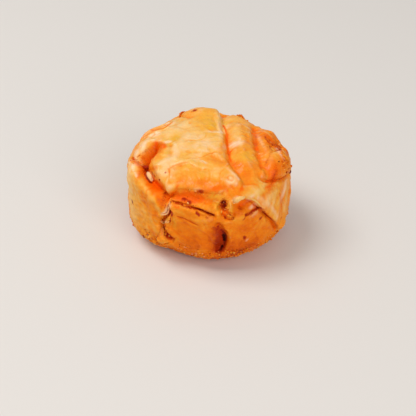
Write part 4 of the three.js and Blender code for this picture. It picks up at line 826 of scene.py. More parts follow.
def build_topology():
    n = TOP_CELLS
    top = square_to_disc(n).reshape(-1, 2) * TOP_RUN
    vid = np.arange((n + 1) ** 2).reshape(n + 1, n + 1)
    faces = np.stack([vid[:-1, :-1], vid[1:, :-1], vid[1:, 1:], vid[:-1, 1:]], -1).reshape(-1, 4)
    edge = np.concatenate([vid[n, :-1], vid[:0:-1, n], vid[0, :0:-1], vid[:-1, 0]])
    ang = np.arctan2(top[edge, 1], top[edge, 0])
    order = np.argsort(ang)
    edge, ang = edge[order], ang[order]
    count = len(edge)
    t = np.linspace(0, 1, WALL_ROWS + 1)[1:]
    runs = TOP_RUN + (WALL_END - TOP_RUN) * (0.86 * t + 0.14 * t ** 2)
    wall = np.stack([runs[:, None] * np.cos(ang)[None], runs[:, None] * np.sin(ang)[None]], -1).reshape(-1, 2)
    first = len(top)
    rows = np.concatenate([edge[None], first + np.arange(WALL_ROWS * count).reshape(WALL_ROWS, count)])
    up, low = rows[:-1], rows[1:]
    quads = np.stack([up, low, np.roll(low, -1, 1), np.roll(up, -1, 1)], -1).reshape(-1, 4)
    return np.concatenate([top, wall]), np.concatenate([faces, quads]), rows[-1]


ab, quads, last_ring = build_topology()
N_SURF = len(ab)


def edges_of(quads):
    e = np.concatenate([quads[:, [0, 1]], quads[:, [1, 2]], quads[:, [2, 3]], quads[:, [3, 0]]])
    e.sort(axis=1)
    key = e[:, 0].astype(np.int64) * (N_SURF + 1) + e[:, 1]
    _, i = np.unique(key, return_index=True)
    return e[i]


EDGES = edges_of(quads)
DEGREE = np.bincount(EDGES.ravel(), minlength=N_SURF)[:, None]


def neighbours_mean(x):
    x2 = x if x.ndim > 1 else x[:, None]
    s = np.stack([np.bincount(EDGES[:, 0], x2[EDGES[:, 1], k], N_SURF) + np.bincount(EDGES[:, 1], x2[EDGES[:, 0], k], N_SURF)
                  for k in range(x2.shape[1])], -1) / DEGREE
    return s if x.ndim > 1 else s[:, 0]


def relax(x, amount, passes):
    for _ in range(passes):
        x = x + amount * (neighbours_mean(x) - x)
    return x


def vertex_normals(P):
    a, b, c, d = (P[quads[:, k]] for k in range(4))
    fn = np.cross(c - a, d - b)
    n = np.stack([sum(np.bincount(quads[:, k], fn[:, ax], N_SURF) for k in range(4)) for ax in range(3)], -1)
    return n / (np.linalg.norm(n, axis=1, keepdims=True) + 1e-12)


for k, f in enumerate(FOLDS):
    if f["kind"] != "swell":
        f["line"] = Line(f["at"], f.get("wobble", 0.0), k)

# ---- draw the mesh's points towards the sharp folds, so that they stay crisp ----
PULL = 2.6


def pull_points(ab):
    P, n, da, db = drum_frame(ab)
    move = np.zeros_like(P)
    weight = np.zeros(len(P))
    for f in FOLDS:
        if not f.get("sharp"):
            continue
        idx, s, at, left = f["line"].near(P, PULL)
        x = np.abs(s) / PULL
        shift = np.sign(s) * PULL * x ** 1.5 - s
        w = (1 - x) ** 1.0 * along(at, f["line"].length, (2, 2))
        move[idx] += left * (shift * w)[:, None]
        weight[idx] += w
    move /= np.maximum(weight, 1)[:, None]
    # surface move -> chart move
    g11, g12, g22 = (da * da).sum(1), (da * db).sum(1), (db * db).sum(1)
    m1, m2 = (move * da).sum(1), (move * db).sum(1)
    det = g11 * g22 - g12 ** 2
    ok = det > 1e-4
    d = np.zeros_like(ab)
    d[ok, 0] = (g22 * m1 - g12 * m2)[ok] / det[ok]
    d[ok, 1] = (g11 * m2 - g12 * m1)[ok] / det[ok]
    run = np.hypot(ab[:, 0], ab[:, 1])
    d *= smooth((WALL_END - run) / 6)[:, None]
    d = relax(d, 0.5, 2)
    return ab + d


ab = pull_points(ab)
P0, N0, DA, DB = drum_frame(ab)

H = np.zeros(N_SURF)
T = np.zeros((N_SURF, 3))
wob = fbm(P0, 4.0, 2, 5)


def swell_weight(at, size, turn=0.0, power=2.0, points=None):
    c = chart([at[:2]])
    p, n, da, db = (v[0] for v in drum_frame(c))
    down = drum(c * (1 + 0.3 / max(at[1], .3)))[0] - p
    down /= np.linalg.norm(down)
    across = np.cross(n, -down)
    q = (P0 if points is None else points) - p
    u, v = q @ across, q @ down
    w = q @ n
    ca, sa = math.cos(rad(turn)), math.sin(rad(turn))
    x, y = (u * ca + v * sa) / size[0], (-u * sa + v * ca) / size[1]
    d = np.sqrt(x * x + y * y + (w / (2.5 * max(size))) ** 2)
    return np.exp(-d ** power), d


for f in FOLDS:
    if f["kind"] == "swell":
        w, _ = swell_weight(f["at"], f["size"], f.get("turn", 0))
        H += f["height"] * w
        continue
    line = f["line"]
    if f["kind"] == "groove":
        wide = max(f["wl"], f["wr"])
        idx, s, at, left = line.near(P0, wide * 2.6)
        e = along(at, line.length, f["fade"], f.get("swing"))
        s = s + 0.25 * wob[idx] * min(1, wide)
        w = np.where(s > 0, f["wl"], f["wr"])
        H[idx] -= f["depth"] * e * np.exp(-(np.abs(s) / w) ** 1.8)
        continue
    if f.get("flip"):
        pass
    idx, s, at, left = line.near(P0, f["reach"] * 2.2)
    e = along(at, line.length, f["fade"], f.get("swing"))
    s = s + 0.15 * wob[idx]
    up = np.where(s > 0, (1 - np.exp(-(s / f["edge"]) ** 2)) * np.exp(-s / f["reach"]), 0)
    up *= np.clip((f["reach"] * 2.2 - s) / f["reach"], 0, 1)
    gap = np.where(s < 0, np.exp(-(s / f["uw"]) ** 2), np.exp(-(s / (0.5 * f["edge"])) ** 2))
    H[idx] += e * (f["lift"] * up - f["under"] * gap)
    lean = np.exp(-((s - f["edge"]) / (1.3 * f["edge"])) ** 2)
    T[idx] -= left * (e * f["over"] * lean)[:, None]

run0 = np.hypot(ab[:, 0], ab[:, 1])
angle0 = np.degrees(np.arctan2(ab[:, 1], ab[:, 0]))


def creased(p, scale, seed):
    """A skin that is creased: crests are sharper than hollows."""
    q = p + 0.45 * scale * np.stack([noise(p, scale, seed + k) for k in (1, 2, 3)], -1)
    return 0.55 - 1.5 * np.abs(noise(q, scale, seed)) - 0.6 * np.abs(noise(q, 0.45 * scale, seed + 4))


def sheets(p, scale, seed, width=0.15):
    """Thin sheets that overlap: a slow slope, then a step up. Gives the height, the
    step's edge above, the shade below it, and a number for each sheet."""
    n = fbm(p, scale, 2, seed) * 2.4 + 10
    k = np.floor(n)
    f = n - k
    height = smooth(f / width) - f
    above = np.exp(-((f - width) / (0.7 * width)) ** 2)
    below = np.exp(-(np.where(f > 0.5, f - 1, f) / (0.5 * width)) ** 2)
    return height, above, below, k


# gentle unevenness of the whole
H += 0.65 * fbm(P0, 26.0, 2, 11) + 0.48 * fbm(P0, 9.0, 2, 12)
on_top = smooth((52 - run0) / 8)
on_wall = 1 - on_top
P_flat = P0 * [1, 1, 2.1]                       # the wall's sheets lie more level
skin = on_top * creased(P0, 13.0, 13) + on_wall * 0.7 * creased(P0, 12.0, 14)
H += 0.42 * skin
top_sheets = sheets(P0, 19.0, 15)
wall_sheets = sheets(P_flat, 30.0, 16)
cover = smooth((fbm(P0, 14.0, 2, 17) + 0.25) / 0.4)
H += cover * (0.38 * on_top * top_sheets[0] + 0.42 * on_wall * wall_sheets[0])
sheet_edge = cover * (on_top * top_sheets[1] + 0.6 * on_wall * wall_sheets[1])
sheet_shade = cover * (on_top * top_sheets[2] + 0.6 * on_wall * wall_sheets[2])
sheet_tint = relax(np.where(on_top > 0.5, np.sin(top_sheets[3] * 2.3), np.sin(wall_sheets[3] * 1.9)), 0.8, 12)
# a second set of thinner flakes, in places
flaky = sheets(P0 * [1, 1, 1.6], 9.0, 18, 0.10)
flaky_cover = smooth((fbm(P0, 11.0, 2, 19) - 0.02) / 0.3)
H += 0.20 * flaky_cover * flaky[0]
sheet_edge = sheet_edge + 0.7 * flaky_cover * flaky[1]
sheet_shade = sheet_shade + 0.6 * flaky_cover * flaky[2]
# small lumps on the two right lobes and on the wall
right_lobes, _ = swell_weight((-4, 35), (26, 18), 0, 4.0)
lumpy = np.clip(on_wall + right_lobes, 0, 1)
lumps = fbm(P0 * [1, 1, 1.2], 4.6, 2, 20)
H += 0.36 * lumpy * lumps
wrinkles = creased(P0, 6.0, 24)
H += (0.22 + 0.20 * right_lobes + 0.04 * on_wall) * wrinkles

foot = smooth(P0[:, 2] / 6.0)
H *= foot
T *= foot[:, None]
P = P0 + N0 * H[:, None] + T
P = relax(P, 0.35, 1)
N1 = vertex_normals(P)

# ---- second level: blisters, wrinkles, layers and crumbs ----
rough = np.zeros(N_SURF)
for a, r, sx, sy, turn, amount in ROUGH:
    w, _ = swell_weight((a, r), (sx, sy), turn, 2.5)
    rough = np.maximum(rough, amount * w)
band = smooth((run0 - 80) / 8) * (0.6 + 0.4 * noise(P0, 7.0, 21))
rough = np.clip(np.maximum(rough, band), 0, 1)
speck = np.zeros(N_SURF)
for a, r, sx, sy, turn, amount in SPECKS:
    w, _ = swell_weight((a, r), (sx, sy), turn, 2.5)
    speck = np.maximum(speck, amount * w)
speck = np.clip(speck * (1 + 0.5 * noise(P0, 3.0, 22)), 0, 1)

blister = np.clip(fbm(P, 3.2, 2, 31), 0.05, 1) ** 1.3
fine = fbm(P, 1.5, 2, 33)
h2 = rough * (0.70 * (blister - 0.15) + 0.36 * fine)
h2 += (0.10 + 0.08 * on_wall) * creased(P, 3.6, 35) + (0.06 + 0.05 * on_wall) * fine
# thin level layers where the wall's sheets end, and crumbs near the foot
level = P * [0.3, 0.3, 1.0] + 0.5 * np.stack([fine, fine, fine], -1)
layer_lines = noise(level, 1.5, 37)
h2 += 0.20 * layer_lines * on_wall * smooth((run0 - 72) / 10)
crumbs = 1 - 2.2 * np.abs(noise(P * [0.75, 0.75, 1.25], 1.9, 39))
crumb_band = smooth((run0 - 79) / 7) * smooth((noise(P0, 6.0, 38) + 0.55) / 0.7)
h2 += 0.30 * crumb_band * crumbs
P = P + N1 * (h2 * foot)[:, None]
P = relax(P, 0.2, 1)

# the foot: it curves down to the table, and never goes below it
P[:, 2] -= profile(np.interp(WALL_END, RUN_TABLE, Q_TABLE))[1] * smooth((run0 - 88) / 13)
P[:, :2] *= 1 - 0.05 * smooth((run0 - 84) / 14)[:, None]
P[:, 2] = np.maximum(P[:, 2], 0.02)
P[last_ring, 2] = 0.0

# ---- curvature and depth, for the painted shade in folds and hollows and the painted highlight on ridges ----
N1 = vertex_normals(P)
lap = ((neighbours_mean(P) - P) * N1).sum(1)
curv = relax(lap, 0.5, 6)
curv = np.clip(curv / 0.05, -1, 1)           # + in folds, - on ridges
low = relax(P, 0.9, 60)                      # the same over a few millimetres
deep = ((low - relax(P0, 0.9, 60)) - (P - P0))
deep = np.clip((deep * N0).sum(1) / 1.8, -1, 1)

# =====================================================================
# 7. The painted fields
# =====================================================================
def seen_from_front(P):
    """The patches and lines were placed by how the shown side looks, on the plain drum.
    This gives, for each point of the folded surface, the point of the plain drum that
    covers it in that view, and on the far side the point it was folded from."""
    ray = P - (CAMERA_MM - SHIFT)
    ray /= np.linalg.norm(ray, axis=1, keepdims=True)
    e1 = np.cross(ray, [0.0, 0.0, 1.0])
    e1 /= np.linalg.norm(e1, axis=1, keepdims=True)
    e2 = np.cross(ray, e1)
    c = ab.copy()
    facing = -(N0 * ray).sum(1)
    for _ in range(9):
        Q, nq, da, db = drum_frame(c)
        r1, r2 = ((Q - P) * e1).sum(1), ((Q - P) * e2).sum(1)
        a11, a12, a21, a22 = (da * e1).sum(1), (db * e1).sum(1), (da * e2).sum(1), (db * e2).sum(1)
        det = a11 * a22 - a12 * a21
        det = np.where(np.abs(det) < 0.12, np.sign(det + 1e-9) * 0.12, det)
        step = np.stack([(a22 * r1 - a12 * r2) / det, (a11 * r2 - a21 * r1) / det], -1)
        size = np.linalg.norm(step, axis=1, keepdims=True)
        c = c - step * np.minimum(1, 2.5 / np.maximum(size, 1e-9))
    far = np.linalg.norm(c - ab, axis=1)
    w = smooth((facing - 0.12) / 0.22) * smooth((22 - far) / 6)
    return drum(ab + (c - ab) * w[:, None])


PS = seen_from_front(P)
FIELDS = {k: np.zeros(N_SURF) for k in ("tone", "orange_and_fold_shade", "pale_and_highlight", "yolk", "burn")}
# darker towards the foot: the crust browns more there, and painted shade on the lower walls
base = np.interp(run0, [0, 20, 36, 46, 60, 75, 88, 104], [.18, .22, .33, .40, .40, .46, .58, .66])
FIELDS["tone"] = base + 0.05 * fbm(P0, 16, 2, 51) + 0.03 * fbm(P0, 5, 2, 52)

edge_noise = fbm(P0, 4.5, 3, 61)
edge_fine = fbm(P0, 1.6, 2, 62)
for a, r, sx, sy, turn, what, value, strength in PATCHES:
    k = 1 + 0.25 * edge_noise + 0.10 * edge_fine
    w, d = swell_weight((a, r), (sx * 1.05, sy * 1.05), turn, 2.4, PS)
    w = np.exp(-(d * k) ** (3.0 if max(sx, sy) < 4.5 else 2.3 if max(sx, sy) < 8 else 1.8)) * strength
    if what == 'tone':
        FIELDS[what] += (value - FIELDS[what]) * w
    else:
        FIELDS[what] = np.maximum(FIELDS[what], value * w)
for i, (points, what, value, wl, wr, broken) in enumerate(STRIPES):
    line = Line(points, 0.15, 70 + i)
    idx, s, at, left = line.near(PS, max(wl, wr) * 2.4)
    wide = np.where(s > 0, wl, wr) * (1 + 0.35 * edge_noise[idx])
    end = min(1.2, 0.3 * line.length)
    w = np.exp(-(np.abs(s) / wide) ** 2.4) * along(at, line.length, (end, end))
    w = w * (1 - broken * (1 - smooth((fbm(P0[idx], 2.6, 2, 90 + i) + 0.30) / 0.45)))
    w = np.clip(w, 0, 1)
    if what == 'tone':
        FIELDS[what][idx] += (value - FIELDS[what][idx]) * w
    else:
        FIELDS[what][idx] = np.maximum(FIELDS[what][idx], value * w)
for what in ("burn", "pale_and_highlight", "orange_and_fold_shade"):
    FIELDS[what] = relax(FIELDS[what], 0.5, 2)

# the sheets and creases of the skin, with painted light and shade: paler on crests and lumps, darker and more orange
# under each sheet's step
pale_top = smooth((0.42 - FIELDS["tone"]) / 0.2)
FIELDS["tone"] += on_top * (0.025 * sheet_tint - 0.02 * skin) + on_wall * (0.025 * sheet_tint - 0.01 * skin)
FIELDS["tone"] += 0.06 * sheet_shade + 0.05 * on_wall * fbm(P0, 6.5, 2, 53) - 0.07 * lumpy * lumps
FIELDS["orange_and_fold_shade"] = np.clip(FIELDS["orange_and_fold_shade"] + 0.35 * sheet_shade, 0, 1)
smear = P0 * [0.8, 0.45, 0.6]
# darker on the right lobes; paler on the wrinkles' crests, a painted highlight
FIELDS["tone"] += 0.045 * right_lobes - 0.015 * wrinkles * on_top
FIELDS["yolk"] = np.clip(FIELDS["yolk"] + 0.45 * pale_top * smooth((fbm(smear, 8.0, 2, 55) - 0.05) / 0.5), 0, 1)
# pale cream smears on the crown: pale dough, partly painted sheen
FIELDS["pale_and_highlight"] = np.maximum(FIELDS["pale_and_highlight"], 0.52 * pale_top * (1 - 0.8 * right_lobes) * smooth((fbm(smear, 7.5, 2, 56) + 0.06) / 0.5))
# painted highlight along the sheets' edges
FIELDS["pale_and_highlight"] = np.maximum(FIELDS["pale_and_highlight"], 0.22 * sheet_edge)
# painted shade: darker in hollows and a little lighter where the surface stands out; more saturated orange in folds and
# hollows
hollow = np.clip(deep, 0, 1)
FIELDS["tone"] += 0.08 * hollow - 0.04 * np.clip(-deep, 0, 1)
FIELDS["orange_and_fold_shade"] = np.clip(FIELDS["orange_and_fold_shade"] + 0.28 * np.clip(curv, 0, 1) + 0.10 * hollow * on_top + 0.20 * hollow, 0, 1)
# painted highlight on the ridges
FIELDS["pale_and_highlight"] = np.clip(FIELDS["pale_and_highlight"] + (0.12 + 0.12 * on_top) * np.clip(-curv, 0, 1) * (1 - rough), 0, 1)
FIELDS["pale_and_highlight"] *= 1 - np.clip(FIELDS["orange_and_fold_shade"] * 1.1, 0, 1)
# painted shade between the crumbs near the foot, and painted light on their tops
FIELDS["tone"] += crumb_band * (0.10 * np.clip(-crumbs, 0, 1.2) - 0.07 * np.clip(crumbs, 0, 1))
FIELDS["rough"] = rough
FIELDS["speck"] = speck
FIELDS["gloss"] = np.interp(run0, [0, 44, 54, 104], [.42, .38, .08, .02]) * (1 - 0.8 * rough)
FIELDS["gloss"] *= 1 - 0.8 * np.clip(FIELDS["orange_and_fold_shade"] + FIELDS["burn"], 0, 1)

# =====================================================================
# 8. Materials
# =====================================================================
def srgb(r, g, b):
    out = []
    for c in (r, g, b):
        c = c / 255.0
        out.append(c / 12.92 if c <= 0.04045 else ((c + 0.055) / 1.055) ** 2.4)
    return (*out, 1.0)


class Nodes:
    """Short names for building a node tree."""

    def __init__(self, material):
        material.use_nodes = True
        self.tree = material.node_tree
        self.shader = self.tree.nodes["Principled BSDF"]

    def new(self, kind, **sets):
        n = self.tree.nodes.new(kind)
        for k, v in sets.items():
            setattr(n, k, v)
        return n

    def link(self, a, b):
        self.tree.links.new(a, b)

    def attr(self, name):
        return self.new("ShaderNodeAttribute", attribute_name=name).outputs["Fac"]

    def math(self, op, a, b=None, clamp=False):
        n = self.new("ShaderNodeMath", operation=op, use_clamp=clamp)
        for i, v in enumerate((a, b)):
            if v is None:
                continue
            if isinstance(v, (int, float)):
                n.inputs[i].default_value = v
            else:
                self.link(v, n.inputs[i])
        return n.outputs[0]

    def mix(self, fac, a, b, blend='MIX'):
        n = self.new("ShaderNodeMix", data_type='RGBA', blend_type=blend, clamp_factor=True)
        for socket, v in ((n.inputs[0], fac), (n.inputs[6], a), (n.inputs[7], b)):
            if isinstance(v, (int, float)):
                socket.default_value = v
            elif isinstance(v, tuple):
                socket.default_value = v
            else:
                self.link(v, socket)
        return n.outputs[2]

    def noise(self, coords, scale, detail=3.0, rough=0.5):
        n = self.new("ShaderNodeTexNoise")
        n.inputs["Scale"].default_value = scale
        n.inputs["Detail"].default_value = detail
        n.inputs["Roughness"].default_value = rough
        self.link(coords, n.inputs["Vector"])
        return n.outputs["Fac"]

    def voronoi(self, coords, scale, feature='F1'):
        n = self.new("ShaderNodeTexVoronoi", feature=feature)
        n.inputs["Scale"].default_value = scale
        self.link(coords, n.inputs["Vector"])
        return n.outputs["Distance"]

    def range(self, v, a, b, c=0.0, d=1.0):
        n = self.new("ShaderNodeMapRange", interpolation_type='SMOOTHSTEP')
        self.link(v, n.inputs["Value"])
        for name, x in (("From Min", a), ("From Max", b), ("To Min", c), ("To Max", d)):
            n.inputs[name].default_value = x
        return n.outputs["Result"]

    def ramp(self, v, stops):
        n = self.new("ShaderNodeValToRGB")
        cr = n.color_ramp
        while len(cr.elements) > 1:
            cr.elements.remove(cr.elements[-1])
        cr.elements[0].position, cr.elements[0].color = stops[0]
        for pos, col in stops[1:]:
            e = cr.elements.new(pos)
            e.color = col
        self.link(v, n.inputs["Fac"])
        return n.outputs["Color"]


def crust_material():
    m = bpy.data.materials.new("baked_crust")
    g = Nodes(m)
    coords = g.new("ShaderNodeTexCoord").outputs["Object"]
    big = g.noise(coords, 110.0, 3.0)
    mid = g.noise(coords, 420.0, 3.0, 0.6)
    small = g.noise(coords, 1500.0, 2.0, 0.6)
    dots = g.voronoi(coords, 900.0)

    tone = g.math('ADD', g.attr("tone"), g.math('MULTIPLY', g.math('SUBTRACT', big, 0.5), 0.12))
    tone = g.math('ADD', tone, g.math('MULTIPLY', g.math('SUBTRACT', mid, 0.5), 0.19))
    tone = g.math('ADD', tone, g.math('MULTIPLY', g.math('SUBTRACT', small, 0.5), 0.10))
    # browned blisters and speckles where it is rough
    rough = g.attr("rough")
    speck = g.range(dots, 0.42, 0.18)
    speck = g.math('MULTIPLY', speck, g.range(mid, 0.42, 0.62))
    tone = g.math('ADD', tone, g.math('MULTIPLY', g.math('MULTIPLY', rough, speck), 0.22))
    tone = g.math('ADD', tone, g.math('MULTIPLY', g.math('MULTIPLY', rough, g.math('SUBTRACT', small, 0.5)), 0.25))
    colour = g.ramp(tone, [
        (0.00, srgb(247, 216, 168)),
        (0.12, srgb(242, 198, 128)),
        (0.25, srgb(241, 178, 84)),
        (0.36, srgb(241, 155, 46)),
        (0.47, srgb(239, 132, 18)),
        (0.58, srgb(230, 112, 6)),
        (0.70, srgb(208, 88, 3)),
        (0.84, srgb(160, 50, 2)),
        (1.00, srgb(96, 16, 2)),
    ])
    yolk = g.math('MULTIPLY', g.attr("yolk"), g.range(big, 0.20, 0.60, 0.5, 1.0))
    colour = g.mix(yolk, colour, srgb(234, 170, 44))
    # saturated orange: painted shade in folds, hollows and undersides, and a few red spots
    orange_and_fold_shade = g.range(g.math('ADD', g.attr("orange_and_fold_shade"), g.math('MULTIPLY', g.math('SUBTRACT', mid, 0.5), 0.35)), 0.10, 0.95)
    colour = g.mix(orange_and_fold_shade, colour, srgb(241, 102, 2))
    # pale cream: pale dough, and painted highlights on ridges and edges
    pale_and_highlight = g.range(g.math('ADD', g.attr("pale_and_highlight"), g.math('MULTIPLY', g.math('SUBTRACT', mid, 0.5), 0.25)), 0.08, 1.0, 0.0, 0.9)
    colour = g.mix(pale_and_highlight, colour, srgb(249, 212, 172))
    # dark dots of sugar and scorched crumbs
    dot = g.math('MULTIPLY', g.range(g.voronoi(coords, 640.0), 0.34, 0.20), g.range(g.math('ADD', g.attr("speck"), g.math('SUBTRACT', mid, 0.5)), 0.30, 0.75))
    colour = g.mix(g.math('MULTIPLY', dot, 0.8), colour, srgb(150, 45, 5))
    burn = g.math('ADD', g.attr("burn"), g.math('MULTIPLY', g.math('SUBTRACT', small, 0.5), 0.34))
    burn = g.math('ADD', burn, g.math('MULTIPLY', g.math('SUBTRACT', g.noise(coords, 900.0, 2.0, 0.6), 0.5), 0.40))
    burn = g.math('MULTIPLY', burn, g.range(g.attr("burn"), 0.02, 0.12))
    colour = g.mix(g.range(burn, 0.08, 0.50), colour, srgb(172, 44, 5))
    colour = g.mix(g.range(burn, 0.42, 0.95), colour, srgb(56, 7, 4))
    g.link(colour, g.shader.inputs["Base Color"])

    r = g.math('ADD', g.range(mid, 0.3, 0.7, 0.36, 0.50), g.math('MULTIPLY', rough, 0.16))
    g.link(r, g.shader.inputs["Roughness"])
    g.shader.inputs["Specular IOR Level"].default_value = 0.06
    g.link(g.math('MULTIPLY', g.attr("gloss"), g.range(mid, 0.35, 0.6, 0.55, 1.0)), g.shader.inputs["Coat Weight"])
    g.shader.inputs["Coat Roughness"].default_value = 0.20
    g.shader.inputs["Subsurface Weight"].default_value = 0.12
    g.shader.inputs["Subsurface Radius"].default_value = (0.004, 0.0016, 0.0006)
    g.shader.inputs["Subsurface Scale"].default_value = 1.0

    height = g.math('ADD', g.math('MULTIPLY', mid, 0.6), g.math('MULTIPLY', small, g.math('ADD', g.math('MULTIPLY', rough, 0.9), 0.16)))
    bump = g.new("ShaderNodeBump")
    bump.inputs["Strength"].default_value = 0.50
    bump.inputs["Distance"].default_value = 0.0006
    g.link(height, bump.inputs["Height"])
    g.link(bump.outputs["Normal"], g.shader.inputs["Normal"])
    return m


# =====================================================================
# 9. The body as a mesh
# =====================================================================
def add_mesh(name, verts_mm, faces, material, smooth_shade=True):
    mesh = bpy.data.meshes.new(name)
    mesh.from_pydata([], [], [])
    verts = (np.asarray(verts_mm) + SHIFT) * MM
    sizes = np.array([len(f) for f in faces]) if isinstance(faces, list) else np.full(len(faces), faces.shape[1])
    flat = np.concatenate([np.asarray(f) for f in faces]) if isinstance(faces, list) else faces.ravel()
    mesh.vertices.add(len(verts))
    mesh.vertices.foreach_set("co", verts.astype(np.float32).ravel())
    mesh.loops.add(len(flat))
    mesh.loops.foreach_set("vertex_index", flat.astype(np.int32))
    mesh.polygons.add(len(sizes))
    mesh.polygons.foreach_set("loop_start", np.concatenate([[0], np.cumsum(sizes)[:-1]]).astype(np.int32))
    mesh.polygons.foreach_set("loop_total", sizes.astype(np.int32))
    mesh.polygons.foreach_set("use_smooth", np.full(len(sizes), smooth_shade))
    mesh.update(calc_edges=True)
    mesh.validate()
    mesh.materials.append(material)
    ob = bpy.data.objects.new(name, mesh)
    scene.collection.objects.link(ob)
    return ob


def underside(start, ring, P):
    """Rings of half as many points each, down to one in the middle."""
    extra, faces = [], []
    here, n = list(ring), start
    for share in (0.90, 0.70, 0.40):
        c = len(here) // 2
        p = P[ring][::len(ring) // c] * share
        p[:, 2] = 0.0
        ids = list(range(n, n + c))
        n += c
        extra.append(p)
        for k in range(c):
            o0, o1, o2 = here[2 * k], here[2 * k + 1], here[(2 * k + 2) % len(here)]
            i0, i1 = ids[k], ids[(k + 1) % c]
            faces += [(o0, i0, o1), (o1, i0, i1), (o1, i1, o2)]
        here = ids
    extra.append(np.zeros((1, 3)))
    for k in range(len(here)):
        faces.append((here[k], n, here[(k + 1) % len(here)]))
    return np.concatenate(extra), faces


crust = crust_material()
extra, under_faces = underside(N_SURF, last_ring, P)
all_P = np.concatenate([P, extra])
body = add_mesh("bread_twist_crust", all_P, [tuple(q) for q in quads] + under_faces, crust)
for name, values in FIELDS.items():
    full = np.concatenate([values, np.full(len(extra), {"tone": .62, "rough": .7}.get(name, 0.0))])
    layer = body.data.attributes.new(name, 'FLOAT', 'POINT')
    layer.data.foreach_set("value", full.astype(np.float32))
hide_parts("bread_twist")
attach(body, "root")

